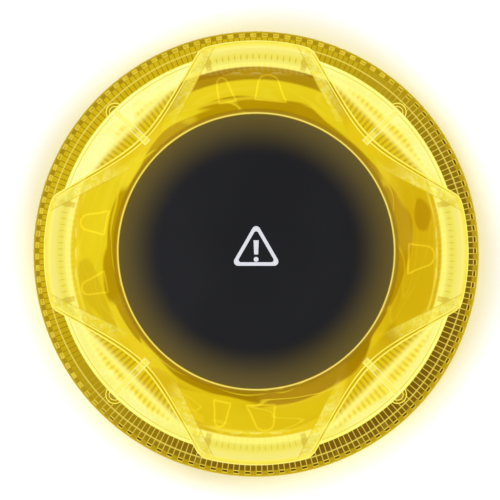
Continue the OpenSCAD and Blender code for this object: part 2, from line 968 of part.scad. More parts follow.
module button_spring() {
    spring_z = button_flange_z + button_flange_t + 0.02;
    color([0.8, 0.8, 0.82])
    translate(button_at)
    translate([0, 0, spring_z])
        wound_wire(button_spring_r, button_spring_r, tower_top - spring_z - 0.02, 3, button_wire_r);
}

module switch_plunger() {
    color([0.9, 0.9, 0.9])
    translate(button_at)
    translate([0, 0, stem_top])
        cylinder(h = plunger_l, r = plunger_r);
}

module switch_body() {
    color([0.12, 0.12, 0.13])
    translate(button_at)
    difference() {
        translate([-switch_w / 2, -switch_w / 2, tower_top])
            cube([switch_w, switch_w, switch_h]);
        translate([0, 0, tower_top - 1])
            cylinder(h = plunger_hole_h + 1, r = plunger_r + guide_gap);
    }
}

module switch_board() {
    color([0.05, 0.3, 0.14])
    translate(button_at)
    translate([-switch_board_w / 2, -switch_board_w / 2, switch_top])
        cube([switch_board_w, switch_board_w, switch_board_t]);
}

// Flat lead: off the switch board, up beside the core, and in under the main board
module switch_lead() {
    y_out = ring_r - switch_board_w / 2 + 2;
    y_up = ledge_r + 0.6;
    y_in = core_in_r - 2;
    z_low = switch_top + switch_board_t;
    color([0.75, 0.45, 0.1])
    translate([-lead_w / 2, 0, 0])
    rotate([90, 0, 90])
    linear_extrude(lead_w)
        polygon([
            [-y_out, z_low], [-y_up, z_low], [-y_up, switch_lead_z], [-y_in, switch_lead_z],
            [-y_in, board_z], [-y_in - lead_t, board_z], [-y_in - lead_t, switch_lead_z + lead_t],
            [-y_up - lead_t, switch_lead_z + lead_t], [-y_up - lead_t, z_low + lead_t],
            [-y_out, z_low + lead_t],
        ]);
}

lens_cover();
top_cap();
cap_gasket();
core_housing();
main_board();
modem_module();
sim_chip();
controller_chip();
boost_inductor();
board_spacers();
board_screws();
aerial_board();
positioning_aerial();
cellular_aerial();
fluted_diffuser();
reflector_tray();
lamp_board_east();
lamp_board_north();
lamp_board_west();
lamp_board_south();
lamps();
lamp_leads();
base_tray();
base_gasket();
housing_screws();
magnets();
foot_pad();
battery_holder();
battery_cell_front();
battery_cell_middle();
battery_cell_rear();
contact_springs();
contact_plates();
battery_leads();
battery_door();
door_seal();
power_button();
button_seal();
button_spring();
switch_plunger();
switch_body();
switch_board();
switch_lead();
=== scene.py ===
"""Amber warning beacon: meshes, finishes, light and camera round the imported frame."""

from __future__ import annotations

import logging
import math
from dataclasses import dataclass, field
from enum import Enum
from typing import Iterable, Sequence

import bpy
from mathutils import Matrix, Vector


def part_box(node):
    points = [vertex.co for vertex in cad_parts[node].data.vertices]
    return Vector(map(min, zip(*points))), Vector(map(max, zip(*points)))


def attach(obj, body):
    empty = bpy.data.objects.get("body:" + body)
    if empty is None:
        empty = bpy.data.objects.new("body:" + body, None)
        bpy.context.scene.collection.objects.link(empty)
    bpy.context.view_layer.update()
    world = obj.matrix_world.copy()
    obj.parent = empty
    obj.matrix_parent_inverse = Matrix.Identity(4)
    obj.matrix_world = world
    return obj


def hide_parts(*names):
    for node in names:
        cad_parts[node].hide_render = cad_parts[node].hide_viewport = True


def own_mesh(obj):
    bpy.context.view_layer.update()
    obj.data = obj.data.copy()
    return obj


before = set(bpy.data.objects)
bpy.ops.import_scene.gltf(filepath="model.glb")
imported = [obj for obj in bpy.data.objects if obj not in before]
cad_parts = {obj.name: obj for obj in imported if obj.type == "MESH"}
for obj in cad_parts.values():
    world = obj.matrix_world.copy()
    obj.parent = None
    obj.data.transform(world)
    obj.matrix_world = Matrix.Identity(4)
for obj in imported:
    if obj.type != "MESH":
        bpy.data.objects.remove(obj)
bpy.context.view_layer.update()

LOG = logging.getLogger("beacon")
MM = 0.001
HOUSING = "housing"
DIAGONALS = (45.0, 135.0, 225.0, 315.0)
CARDINALS = (0.0, 90.0, 180.0, 270.0)

Colour = tuple[float, float, float]
Point = tuple[float, float, float]
Paint = bpy.types.NodeSocket | Colour


def tone(red: int, green: int, blue: int) -> Colour:
    """A display colour from 0 to 255 as linear light.

    Args:
        red: Red, 0 to 255.
        green: Green, 0 to 255.
        blue: Blue, 0 to 255.

    Returns:
        The linear colour.
    """

    def linear(value: float) -> float:
        """One channel of the display curve undone."""
        return value / 12.92 if value <= 0.04045 else ((value + 0.055) / 1.055) ** 2.4

    return linear(red / 255), linear(green / 255), linear(blue / 255)


def mix(a: float, b: float, t: float) -> float:
    """The value a share t of the way from a to b."""
    return a + (b - a) * t


def soft_least(a: float, b: float, width: float) -> float:
    """The smaller of two values, rounded off where they cross."""
    return (a + b - math.hypot(a - b, width)) / 2


def polar(radius: float, degrees: float, z: float = 0.0) -> Point:
    """A point from its radius, its angle in degrees and its height."""
    angle = math.radians(degrees)
    return radius * math.cos(angle), radius * math.sin(angle), z


def off_diagonal(degrees: float) -> float:
    """Degrees from an angle to the nearest diagonal."""
    return min(abs((degrees - diagonal + 180) % 360 - 180) for diagonal in DIAGONALS)


def steps(low: float, high: float, count: int) -> list[float]:
    """Evenly spaced values from low to high, count gaps apart."""
    return [mix(low, high, i / count) for i in range(count + 1)]


# ---------------------------------------------------------------- shader maths


class Value:
    """A number socket in a shader, with arithmetic that adds Math nodes."""

    def __init__(self, graph: Graph, socket: bpy.types.NodeSocket) -> None:
        """Wraps one output socket of a graph."""
        self.graph = graph
        self.socket = socket

    def _math(self, operation: str, *terms: Value | float) -> Value:
        """Adds one Math node on the given terms."""
        node = self.graph.node("ShaderNodeMath", {"operation": operation}, dict(enumerate(terms)))
        return Value(self.graph, node)

    def __add__(self, other: Value | float) -> Value:
        """Sum."""
        return self._math("ADD", self, other)

    __radd__ = __add__

    def __sub__(self, other: Value | float) -> Value:
        """Difference."""
        return self._math("SUBTRACT", self, other)

    def __rsub__(self, other: float) -> Value:
        """Difference from a number."""
        return self._math("SUBTRACT", other, self)

    def __mul__(self, other: Value | float) -> Value:
        """Product."""
        return self._math("MULTIPLY", self, other)

    __rmul__ = __mul__

    def __truediv__(self, other: Value | float) -> Value:
        """Quotient."""
        return self._math("DIVIDE", self, other)

    def __abs__(self) -> Value:
        """Size without sign."""
        return self._math("ABSOLUTE", self)

    def atan2(self, other: Value) -> Value:
        """Angle of the point (other, self)."""
        return self._math("ARCTAN2", self, other)

    def root(self) -> Value:
        """Square root."""
        return self._math("SQRT", self)

    def least(self, other: Value | float) -> Value:
        """The smaller of two values."""
        return self._math("MINIMUM", self, other)

    def most(self, other: Value | float) -> Value:
        """The larger of two values."""
        return self._math("MAXIMUM", self, other)

    def wave(self, period: float) -> Value:
        """Distance to the nearest multiple of a period."""
        return self._math("PINGPONG", self, period / 2)

    def ramp_up(self, low: float, high: float) -> Value:
        """A smooth step.

        Args:
            low: Where it is still 0.
            high: Where it reaches 1.

        Returns:
            The step, 0 to 1.
        """
        settings = {"interpolation_type": "SMOOTHSTEP", "clamp": True}
        sockets = {"Value": self, "From Min": low, "From Max": high}
        return Value(self.graph, self.graph.node("ShaderNodeMapRange", settings, sockets))

    def band(self, low: float, high: float, soft: float) -> Value:
        """A soft-edged band that is 1 between low and high."""
        return self.ramp_up(low - soft, low + soft) * (1 - self.ramp_up(high - soft, high + soft))

    def near(self, centre: float, width: float) -> Value:
        """A soft line that is 1 at centre and 0 a width away."""
        return 1 - abs(self - centre).ramp_up(0.0, width)


class Graph:
    """The node tree of one material."""

    def __init__(self, name: str) -> None:
        """Starts an empty material with an output.

        Args:
            name: The material's name.
        """
        self.material = bpy.data.materials.new(name)
        self.material.use_nodes = True
        self.tree = self.material.node_tree
        self.tree.nodes.clear()
        self.output = self.tree.nodes.new("ShaderNodeOutputMaterial")
        self._place: bpy.types.NodeSocket | None = None

    def node(
        self, kind: str, settings: dict | None = None, sockets: dict | None = None, out: int | str = 0,
    ) -> bpy.types.NodeSocket:
        """Adds a node: its settings first, then the values or links of its sockets.

        Args:
            kind: The node's type.
            settings: Its properties; a ramp's stops are given as "stops".
            sockets: Its inputs by name or number.
            out: The output to give back.

        Returns:
            The chosen output socket.
        """
        node = self.tree.nodes.new(kind)
        for name, value in (settings or {}).items():
            if name == "stops":
                ramp = node.color_ramp
                while len(ramp.elements) < len(value):
                    ramp.elements.new(0.5)
                for element, (place, colour) in zip(ramp.elements, value):
                    element.position = place
                    element.color = (*colour, 1.0)
            else:
                setattr(node, name, value)
        for name, value in (sockets or {}).items():
            socket = node.inputs[name]
            value = value.socket if isinstance(value, Value) else value
            if isinstance(value, bpy.types.NodeSocket):
                self.tree.links.new(value, socket)
            elif isinstance(value, tuple) and len(value) == 3 and len(socket.default_value) == 4:
                socket.default_value = (*value, 1.0)
            else:
                socket.default_value = value
        return node.outputs[out]

    @property
    def place(self) -> bpy.types.NodeSocket:
        """Position in the object's own frame.

        Returns:
            The position's socket, in metres.
        """
        if self._place is None:
            self._place = self.node("ShaderNodeTexCoord", out="Object")
        return self._place

    def axis(self, name: str) -> Value:
        """One coordinate in millimetres."""
        return Value(self, self.node("ShaderNodeSeparateXYZ", None, {0: self.place}, name)) * (1 / MM)

    def radius(self) -> Value:
        """Distance from the upright axis in millimetres."""
        x, y = self.axis("X"), self.axis("Y")
        return (x * x + y * y).root()

    def turn(self) -> Value:
        """Angle round the upright axis in degrees, from 0 to 360."""
        return self.axis("Y").atan2(self.axis("X")) * (180 / math.pi) + 180

    def noise(
        self, scale: float, detail: float = 2.0, stretch: Point = (1, 1, 1), twist: float = 0.0,
    ) -> Value:
        """Noise in the object's frame.

        Args:
            scale: Features per metre.
            detail: Octaves.
            stretch: Scale along each axis.
            twist: Distortion.

        Returns:
            The noise, about 0 to 1.
        """
        at = self.node("ShaderNodeMapping", None, {0: self.place, "Scale": tuple(stretch)})
        sockets = {"Vector": at, "Scale": scale, "Detail": detail, "Distortion": twist}
        return Value(self, self.node("ShaderNodeTexNoise", {"noise_dimensions": "3D"}, sockets, "Fac"))

    def attribute(self, name: str) -> Value:
        """A number stored on the mesh."""
        return Value(self, self.node("ShaderNodeAttribute", {"attribute_name": name}, None, "Fac"))

    def blend(self, a: Paint, b: Paint, amount: Value | float) -> bpy.types.NodeSocket:
        """Colour a turning into colour b."""
        return self.node("ShaderNodeMix", {"data_type": "RGBA"}, {0: amount, 6: a, 7: b}, 2)

    def ramp(self, stops: Sequence[tuple[float, Colour]], at: Value) -> bpy.types.NodeSocket:
        """A colour ramp with smooth steps."""
        return self.node("ShaderNodeValToRGB", {"stops": stops}, {0: at}, "Color")

    def bump(self, height: Value, strength: float, distance: float) -> bpy.types.NodeSocket:
        """A bumped normal from a height."""
        sockets = {"Height": height, "Strength": strength, "Distance": distance}
        return self.node("ShaderNodeBump", None, sockets)

    def finish(self, **sockets: Value | Paint | float) -> bpy.types.Material:
        """Ends the graph in one Principled shader.

        Args:
            **sockets: Its sockets, with underscores for spaces.

        Returns:
            The finished material.
        """
        named = {name.replace("_", " "): value for name, value in sockets.items()}
        shader = self.node("ShaderNodeBsdfPrincipled", None, named)
        self.tree.links.new(shader, self.output.inputs["Surface"])
        return self.material


# ---------------------------------------------------------------- finishes

# AMBER is the plastic's own colour and GLINT tints its reflections; GOLD, OLD_GOLD, BROWN_GOLD, LEMON and
# PALE_SUN are emission colours that paint light and shade on the lit amber parts.
AMBER = tone(40, 30, 0)
GOLD = tone(222, 190, 8)
OLD_GOLD = tone(184, 142, 0)
BROWN_GOLD = tone(146, 106, 0)
LEMON = tone(238, 216, 40)
PALE_SUN = tone(255, 255, 160)
GLINT = tone(255, 232, 90)


@dataclass(frozen=True)
class AmberSkin:
    """Sizes in millimetres that the amber finishes follow."""

    collar_r: float = 30.1
    lobe_r: float = 46.2
    drum_r: float = 44.0
    chord: float = 41.1
    window_chord: float = 38.2
    bar_start: float = 32.7
    rim_in_r: float = 48.7
    line_r: float = 47.3
    edge_line_r: float = 49.75
    rim_r: float = 50.0
    pitch: float = 1.5
    flute_pitch: float = 1.8

    def barred(self, g: Graph, colour: Paint) -> bpy.types.NodeSocket:
        """Adds the radial bar of each window to a colour: two fine painted highlight lines with a painted
        lit strip between.

        Args:
            g: The graph.
            colour: The colour under the bar.

        Returns:
            The colour with the bar.
        """
        radius = g.radius()
        off = abs(abs(g.axis("X")) - abs(g.axis("Y"))) * math.sqrt(0.5)
        reach = radius.band(self.bar_start, self.drum_r - 0.4, 0.08)
        frame_end = radius.band(self.bar_start + 3.4, self.bar_start + 5.2, 0.15)
        # painted lit strip along the bar, and painted highlight lines at its sides and inner end
        fill = (1 - off.ramp_up(0.5, 0.75)) * reach * (1 - frame_end)
        rim = off.near(0.66, 0.26).most(radius.near(self.bar_start, 0.25) * (1 - off.ramp_up(0.6, 0.8)))
        colour = g.blend(colour, tone(250, 236, 92), fill * 0.65)
        return g.blend(colour, tone(255, 250, 150), rim * reach * 0.9)

    def to_rear_left(self, g: Graph) -> Value:
        """Place along the diagonal from the front right to the rear left, about -1 to 1."""
        return (g.axis("Y") - g.axis("X")) * (math.sqrt(0.5) / self.rim_r)

    def lit_side(self, g: Graph) -> Value:
        """How far a point lies towards the rear left, where the painted light, like the lamps' light, is
        strongest, 0 to 1.
        """
        return self.to_rear_left(g).ramp_up(-0.7, 0.75)


@dataclass(frozen=True)
class CrownFinish:
    """Crown in painted light: golden swirls of painted reflection and shade by the cap, bright painted tubes
    in the four lobes.
    """

    skin: AmberSkin
    depth: float = 12.0

    def make(self) -> bpy.types.Material:
        """Builds the material.

        Returns:
            The finished material.
        """
        g = Graph("amber_crown")
        skin = self.skin
        radius = g.radius()
        rear = (g.axis("Y") / radius).ramp_up(0.78, 0.96)
        start = skin.chord - 1.0
        in_tube = radius.ramp_up(start - 0.15, start + 0.15)
        # the emission colour paints all the crown's light and shade
        lit = g.blend(self.body(g, radius, rear), self.tube(g, radius, rear), in_tube)
        # painted highlight line where the tube starts
        lit = g.blend(lit, tone(255, 246, 120), radius.near(start, 0.4) * 0.8)
        lit = skin.barred(g, self.flank(g, lit))
        # painted shade band beside the collar, then a painted highlight line at its edge
        lit = g.blend(lit, tone(150, 116, 4), radius.near(skin.collar_r - 0.1, 0.7))
        lit = g.blend(lit, tone(255, 240, 120), radius.near(skin.collar_r - 0.75, 0.3))
        ripple = g.noise(60, 2.0, (1, 1, 1), 1.0)
        return g.finish(
            Base_Color=AMBER, Roughness=0.1, Alpha=0.88, IOR=1.45, Specular_IOR_Level=0.15,
            Specular_Tint=GLINT, Emission_Color=lit, Emission_Strength=1.0,
            Normal=g.bump(ripple, 0.12, 0.0006),
        )

    def body(self, g: Graph, radius: Value, rear: Value) -> bpy.types.NodeSocket:
        """Painted light and shade between the cap and the lobes.

        Args:
            g: The graph.
            radius: Distance from the axis.
            rear: Share of the rear lobe, which has a painted shade band of its own.

        Returns:
            The colour.
        """
        skin = self.skin
        lit_side = skin.lit_side(g)
        edge = (skin.chord - radius).least(g.attribute("gap") - 1.2)
        out = radius - skin.collar_r
        swirl = self.swirls(g, radius, 1.15, 0.0)
        inner = self.swirls(g, radius, 2.4, 7.0)
        rise = (edge + (swirl - 0.5) * 10).ramp_up(1.9, 2.5)
        fall = (out + (inner - 0.5) * 8).ramp_up(1.7, 2.4)
        # painted shade and painted light along the swirls, over painted shade at the foot by the collar
        shade = g.blend(tone(232, 202, 24), tone(150, 108, 0), rear)
        light = g.blend(tone(214, 182, 8), tone(238, 218, 32), lit_side * 0.5 + inner * 0.5)
        foot = g.blend(BROWN_GOLD, tone(190, 156, 2), lit_side * 0.6 + 0.4 * swirl)
        body = g.blend(foot, g.blend(shade, light, rise), fall)
        # painted highlight streaks
        highlight_streak = self.swirls(g, radius, 3.2, 13.0).near(0.52, 0.035) * edge.ramp_up(0.5, 2.0)
        body = g.blend(body, LEMON, highlight_streak * 0.7)
        # painted shade towards the east and in swirled pockets
        east = (g.axis("X") / radius).ramp_up(0.72, 1.0)
        shade_pocket = self.swirls(g, radius, 1.7, 21.0).ramp_up(0.53, 0.58) * out.ramp_up(1.0, 3.0)
        body = g.blend(body, tone(200, 156, 2), east * 0.6)
        body = g.blend(body, tone(172, 126, 0), shade_pocket * (0.3 + east * 0.45) * (1 - rear))
        # painted shade band in the rear lobe, and a painted highlight line near the other lobes
        body = g.blend(body, tone(152, 110, 0), rear * radius.band(36.9, 40.6, 0.35) * 0.85)
        line = (1 - rear) * radius.near(skin.chord - 2.2, 0.5) * swirl.ramp_up(0.4, 0.6)
        return g.blend(body, tone(250, 232, 70), line * 0.6)

    def tube(self, g: Graph, radius: Value, rear: Value) -> bpy.types.NodeSocket:
        """Painted light of the bright tube in each lobe.

        Args:
            g: The graph.
            radius: Distance from the axis.
            rear: Share of the rear lobe, whose flutes carry darker painted shade.

        Returns:
            The colour.
        """
        skin = self.skin
        # painted light and shade in bands across the tube
        tube = g.ramp(
            [(0.0, tone(254, 246, 120)), (0.16, tone(252, 242, 110)), (0.3, tone(246, 232, 84)),
             (0.5, tone(248, 236, 92)), (0.66, tone(252, 240, 112)), (0.88, tone(253, 242, 128)),
             (1.0, tone(250, 232, 70))],
            radius.ramp_up(skin.chord - 1.2, skin.lobe_r),
        )
        # painted shade lines along the flutes
        flutes = g.turn().wave(skin.flute_pitch).ramp_up(0.62, 0.88)
        tube = g.blend(tube, OLD_GOLD, flutes * (0.35 + rear * 0.2) * radius.band(41.7, 42.9, 0.35))
        # painted shade on a wedge at each end of the lobe
        wedge = g.turn().wave(90.0).band(13.6, 15.2, 0.2)
        return g.blend(tube, tone(206, 172, 8), wedge * 0.6)

    def flank(self, g: Graph, colour: Paint) -> bpy.types.NodeSocket:
        """Adds the painted highlight strip that runs along each window's edge.

        Args:
            g: The graph.
            colour: The colour under the strip.

        Returns:
            The colour with the strip.
        """
        gap, corner = g.attribute("gap"), g.attribute("corner")
        # noise that breaks up the painted highlight strip
        grain = g.noise(700, 2.0, (1, 1, 1), 1.2).ramp_up(0.3, 0.75)
        strip = g.blend(tone(240, 220, 40), tone(254, 248, 130), grain)
        colour = g.blend(colour, strip, gap.band(1.25, 4.2, 0.2) * corner * 0.8)
        # painted shade lines at the strip's inner side and near the window's edge
        colour = g.blend(colour, tone(214, 184, 10), gap.near(4.2, 0.35) * corner * 0.6)
        return g.blend(colour, tone(196, 164, 6), gap.near(0.62, 0.4) * 0.8)

    def swirls(self, g: Graph, radius: Value, bands: float, seed: float) -> Value:
        """Long smooth waves that run round the axis.

        Args:
            g: The graph.
            radius: Distance from the axis.
            bands: Waves across the crown's depth.
            seed: Offset that gives each layer its own waves.

        Returns:
            The waves, about 0 to 1.
        """
        round_scale = 2.1
        x, y = (g.axis(name) / radius * round_scale for name in "XY")
        parts = {0: radius * (bands / self.depth) + seed, 1: x, 2: y}
        at = g.node("ShaderNodeCombineXYZ", None, parts)
        sockets = {"Vector": at, "Scale": 1.0, "Detail": 0.6, "Distortion": 0.5}
        return Value(g, g.node("ShaderNodeTexNoise", {"noise_dimensions": "3D"}, sockets, "Fac"))


@dataclass(frozen=True)
class WindowFinish:
    """Clear window skin in painted light: bright crescent, broad flutes and a bright bar across them."""

    skin: AmberSkin

    def make(self) -> bpy.types.Material:
        """Builds the material.

        Returns:
            The finished material.
        """
        g = Graph("amber_window")
        skin = self.skin
        radius = g.radius()
        lit_side = skin.lit_side(g)
        chord = (abs(g.axis("X")) + abs(g.axis("Y"))) * math.sqrt(0.5)
        ticks = g.turn().wave(skin.flute_pitch).ramp_up(0.25, 0.75)
        inside = chord.ramp_up(skin.window_chord - 0.4, skin.window_chord + 0.4)
        cloud = g.noise(90, 2.0, (1, 1, 1), 0.8).ramp_up(0.35, 0.65)
        # painted light with painted shade lines along the flutes
        inner = g.blend(tone(226, 200, 16), tone(190, 154, 0), ticks * 0.8)
        outer = g.blend(tone(246, 228, 46), tone(216, 188, 16), ticks * 0.75)
        lit = g.blend(inner, outer, inside)
        # painted highlight along the chord
        lit = g.blend(lit, tone(254, 248, 128), chord.near(skin.window_chord, 1.5) * 0.95)
        # painted pale light, reaching further in and paler towards the rear left, with painted light patches
        # there
        reach = 41.7 - lit_side * 2.2 - cloud * 0.7
        lit = g.blend(lit, g.blend(tone(252, 242, 100), PALE_SUN, lit_side * 0.5 + cloud * 0.5),
                      (radius - reach).ramp_up(-0.5, 0.9))
        lit = g.blend(lit, PALE_SUN, lit_side.ramp_up(0.6, 0.95) * cloud * inside * 0.8)
        # painted shade line near the drum's edge
        lit = g.blend(lit, tone(220, 196, 26), radius.near(skin.drum_r - 0.75, 0.3) * 0.8)
        lit = skin.barred(g, lit)
        return g.finish(
            Base_Color=AMBER, Roughness=0.1, Alpha=0.9, IOR=1.45, Specular_IOR_Level=0.2,
            Specular_Tint=GLINT, Emission_Color=lit, Emission_Strength=1.0,
            Normal=g.bump(ticks * radius.band(35.8, 42.0, 0.4), 0.35, 0.0003),
        )


@dataclass(frozen=True)
class GlowFinish:
    """Clear amber plastic with an even painted glow, for walls, beads and bars; on the lamp domes the glow
    is their own lamp light.
    """

    name: str
    colour: Colour
    glow: float = 0.9
    alpha: float = 1.0
    roughness: float = 0.12

    def make(self) -> bpy.types.Material:
        """Builds the material.

        Returns:
            The finished material.
        """
        g = Graph(self.name)
        cloud = g.noise(260, 2.0, (1, 1, 1), 0.8).ramp_up(0.3, 0.7)
        deeper = tuple(part * share for part, share in zip(self.colour, (0.9, 0.82, 0.5)))
        # painted glow, deeper in random patches
        lit = g.blend(self.colour, deeper, cloud * 0.6)
        return g.finish(
            Base_Color=AMBER, Roughness=self.roughness, Alpha=self.alpha, IOR=1.45, Specular_IOR_Level=0.2,
            Specular_Tint=GLINT, Emission_Color=lit, Emission_Strength=self.glow,
            Normal=g.bump(cloud, 0.1, 0.0003),
        )


@dataclass(frozen=True)
class ShelfFinish:
    """Thin amber shelf over radial ribs: fine painted highlight lines where they meet it, cells of painted
    shade between, lit towards the rear left.
    """

    skin: AmberSkin

    def make(self) -> bpy.types.Material:
        """Builds the material.

        Returns:
            The finished material.
        """
        g = Graph("amber_shelf")
        skin = self.skin
        radius, turn = g.radius(), g.turn()
        painted_lit_share = skin.lit_side(g)
        # painted shade in the cells, turning to painted light towards the rear left
        cell = g.blend(tone(118, 86, 0), tone(212, 182, 10), painted_lit_share)
        cell = g.blend(cell, tone(226, 196, 40), g.noise(420, 2.0, (1, 1, 1), 0.6).ramp_up(0.55, 0.75) * 0.2)
        # painted light on the strip outside the ribs, darker towards the rear left
        rim = radius.ramp_up(skin.rim_in_r - 0.15, skin.rim_in_r + 0.1)
        cell = g.blend(cell, g.blend(tone(190, 160, 14), tone(164, 134, 2), painted_lit_share), rim * 0.9)
        # painted highlight lines along the ribs, turning to painted shade lines towards the rear left, and
        # painted highlight rings round the shelf
        line = 1 - turn.wave(skin.pitch).ramp_up(0.02, 0.2)
        bright = g.blend(tone(232, 208, 78), tone(156, 124, 0), painted_lit_share.ramp_up(0.35, 0.8))
        ring = radius.near(skin.line_r, 0.26).most(radius.near(skin.drum_r + 0.2, 0.5))
        lit = g.blend(cell, bright, line * (1 - rim))
        lit = g.blend(lit, tone(246, 224, 90), ring * 0.9)
        lit = g.blend(lit, tone(206, 176, 30), radius.near(skin.edge_line_r, 0.2))
        return g.finish(
            Base_Color=tone(30, 22, 0), Roughness=0.14, Alpha=0.97, IOR=1.4, Specular_IOR_Level=0.15,
            Emission_Color=lit, Emission_Strength=0.95,
        )


@dataclass(frozen=True)
class SkirtFinish:
    """Toothed skirt in a painted glow, brighter along its edges and darker towards the rear left."""

    skin: AmberSkin
    top_edge: tuple[float, float] = (11.6, 12.9)
    foot_edge: tuple[float, float] = (4.8, 5.8)

    def make(self) -> bpy.types.Material:
        """Builds the material.

        Returns:
            The finished material.
        """
        g = Graph("amber_skirt")
        height = g.axis("Z")
        edge = height.ramp_up(*self.top_edge).most(1 - height.ramp_up(*self.foot_edge))
        side = self.skin.to_rear_left(g).ramp_up(-0.6, 0.7)
        # painted glow, darker towards the rear left, with painted highlights at the edges
        body = g.blend(tone(206, 170, 12), tone(176, 144, 2), side)
        lit = g.blend(body, tone(250, 228, 70), edge * 0.5)
        return g.finish(
            Base_Color=AMBER, Roughness=0.12, Alpha=0.95, IOR=1.45, Specular_IOR_Level=0.2,
            Specular_Tint=GLINT, Emission_Color=lit, Emission_Strength=0.9,
        )


@dataclass(frozen=True)
class NotchFinish:
    """Floor of the small notches round the rim: painted shade to the front right, painted light to the rear
    left.
    """

    skin: AmberSkin

    def make(self) -> bpy.types.Material:
        """Builds the material.

        Returns:
            The finished material.
        """
        g = Graph("amber_notch")
        painted_lit_share = self.skin.lit_side(g).ramp_up(0.3, 0.7)
        fleck = g.noise(800, 1.0).ramp_up(0.3, 0.7)
        # painted shade and painted light by side
        lit = g.blend(tone(96, 70, 0), g.blend(tone(226, 202, 50), tone(196, 166, 8), fleck), painted_lit_share)
        return g.finish(
            Base_Color=tone(30, 22, 0), Roughness=0.2, Specular_IOR_Level=0.15,
            Emission_Color=lit, Emission_Strength=0.95,
        )


@dataclass(frozen=True)
class CapFinish:
    """Charcoal cap with a fine spark texture and a painted glow of the lens's light at its edge."""

    cap_r: float

    def make(self) -> bpy.types.Material:
        """Builds the material.

        Returns:
            The finished material.
        """
        g = Graph("charcoal_cap")
        radius = g.radius()
        # painted glow of the lens's light, rising towards the edge
        lens_glow_share = radius.ramp_up(self.cap_r - 9.0, self.cap_r + 2.2)
        patch = g.noise(40, 1.0).ramp_up(0.3, 0.7)
        spark = g.noise(5200, 2.0)
        glow = g.blend(tone(0, 0, 0), tone(112, 94, 22), lens_glow_share)
        return g.finish(
            Base_Color=g.blend(tone(15, 15, 17), tone(21, 21, 24), patch), Roughness=0.6 + 0.15 * spark,
            Specular_IOR_Level=0.08, Emission_Color=glow, Emission_Strength=0.8,
            Normal=g.bump(spark, 0.15, 0.0001),
        )


@dataclass(frozen=True)
class MouldedFinish:
    """Moulded plastic or rubber with spark texture and rubbed patches."""

    name: str
    colour: Colour
    roughness: float = 0.5
    grain: float = 3800.0
    depth: float = 0.25
    worn: float = 0.25

    def make(self) -> bpy.types.Material:
        """Builds the material.

        Returns:
            The finished material.
        """
        g = Graph(self.name)
        grain = g.noise(self.grain, 3.0)
        rubbed = g.noise(120, 3.0, (1, 1, 1), 0.5).ramp_up(0.45, 0.75)
        lighter = tuple(min(1.0, part * 1.5 + 0.01) for part in self.colour)
        return g.finish(
            Base_Color=g.blend(self.colour, lighter, rubbed * self.worn),
            Roughness=self.roughness + 0.12 * grain - 0.1 * rubbed,
            Normal=g.bump(grain, self.depth, 0.00012),
        )


class Lay(Enum):
    """How a metal's finish runs."""

    TURNED = "turned"
    BRUSHED = "brushed"
    PLATED = "plated"


@dataclass(frozen=True)
class MetalFinish:
    """Metal with turned rings, brushed lines or a mottled plate."""

    name: str
    colour: Colour
    roughness: float = 0.28
    lay: Lay = Lay.PLATED

    def make(self) -> bpy.types.Material:
        """Builds the material.

        Returns:
            The finished material.
        """
        g = Graph(self.name)
        stretch = {Lay.TURNED: (1, 1, 14), Lay.BRUSHED: (1, 16, 1), Lay.PLATED: (1, 1, 1)}[self.lay]
        marks = g.noise(900, 3.0, stretch)
        stain = g.noise(160, 2.0).ramp_up(0.5, 0.8)
        darker = tuple(part * 0.72 for part in self.colour)
        return g.finish(
            Base_Color=g.blend(self.colour, darker, stain * 0.5), Metallic=1.0,
            Roughness=self.roughness + 0.2 * marks, Normal=g.bump(marks, 0.12, 0.00008),
        )


@dataclass(frozen=True)
class BoardFinish:
    """Circuit board with tracks and pads under its mask."""

    name: str
    mask: Colour
    track: Colour
    # strength of a painted glow of lamp light on the board
    glow: float = 0.0

    def make(self) -> bpy.types.Material:
        """Builds the material.

        Returns:
            The finished material.
        """
        g = Graph(self.name)
        x, y = g.axis("X"), g.axis("Y")
        drift = g.noise(110, 1.0) * 3.0
        lanes = (x + drift).wave(1.6).ramp_up(0.42, 0.5).most((y - drift).wave(2.1).ramp_up(0.8, 0.9))
        pads = (1 - x.wave(2.6).most(y.wave(2.6)).ramp_up(0.22, 0.3)) * g.noise(80, 1.0).ramp_up(0.5, 0.54)
        colour = g.blend(g.blend(self.mask, self.track, lanes * 0.7), tone(214, 190, 120), pads)
        return g.finish(
            Base_Color=colour, Roughness=0.35 - 0.1 * pads, Metallic=pads, Emission_Color=tone(255, 226, 60),
            Emission_Strength=self.glow, Normal=g.bump(lanes, 0.2, 0.00008),
        )


@dataclass(frozen=True)
class FluteFinish:
    """Fluted diffuser in a painted back light: each flute's crest is painted brighter."""

    pitch: float

    def make(self) -> bpy.types.Material:
        """Builds the material.

        Returns:
            The finished material.
        """
        g = Graph("lit_diffuser")
        crest = g.turn().wave(self.pitch).ramp_up(0.15, 0.75)
        lit = g.blend(PALE_SUN, tone(222, 186, 10), crest * 0.8)
        return g.finish(
            Base_Color=AMBER, Roughness=0.15, Alpha=0.75, Emission_Color=lit, Emission_Strength=0.9,
        )


@dataclass(frozen=True)
class ReflectorFinish:
    """Glossy reflector in painted light: bright on its upright sides, with painted shade by the core."""

    core_r: float
    upright_r: float = 38.5

    def make(self) -> bpy.types.Material:
        """Builds the material.

        Returns:
            The finished material.
        """
        g = Graph("lit_reflector")
        radius = g.radius()
        cloud = g.noise(50, 2.0, (1, 1, 1), 1.5).ramp_up(0.35, 0.65)
        # painted light rising out of painted shade by the core, broken by patches of painted shade
        stops = [(0.0, tone(90, 64, 0)), (0.4, OLD_GOLD), (1.0, GOLD)]
        lit = g.ramp(stops, radius.ramp_up(self.core_r, self.upright_r))
        lit = g.blend(lit, BROWN_GOLD, cloud * 0.55)
        return g.finish(
            Base_Color=g.blend(AMBER, tone(196, 158, 24), cloud), Roughness=0.14, Coat_Weight=0.5,
            Emission_Color=lit, Emission_Strength=0.7,
        )


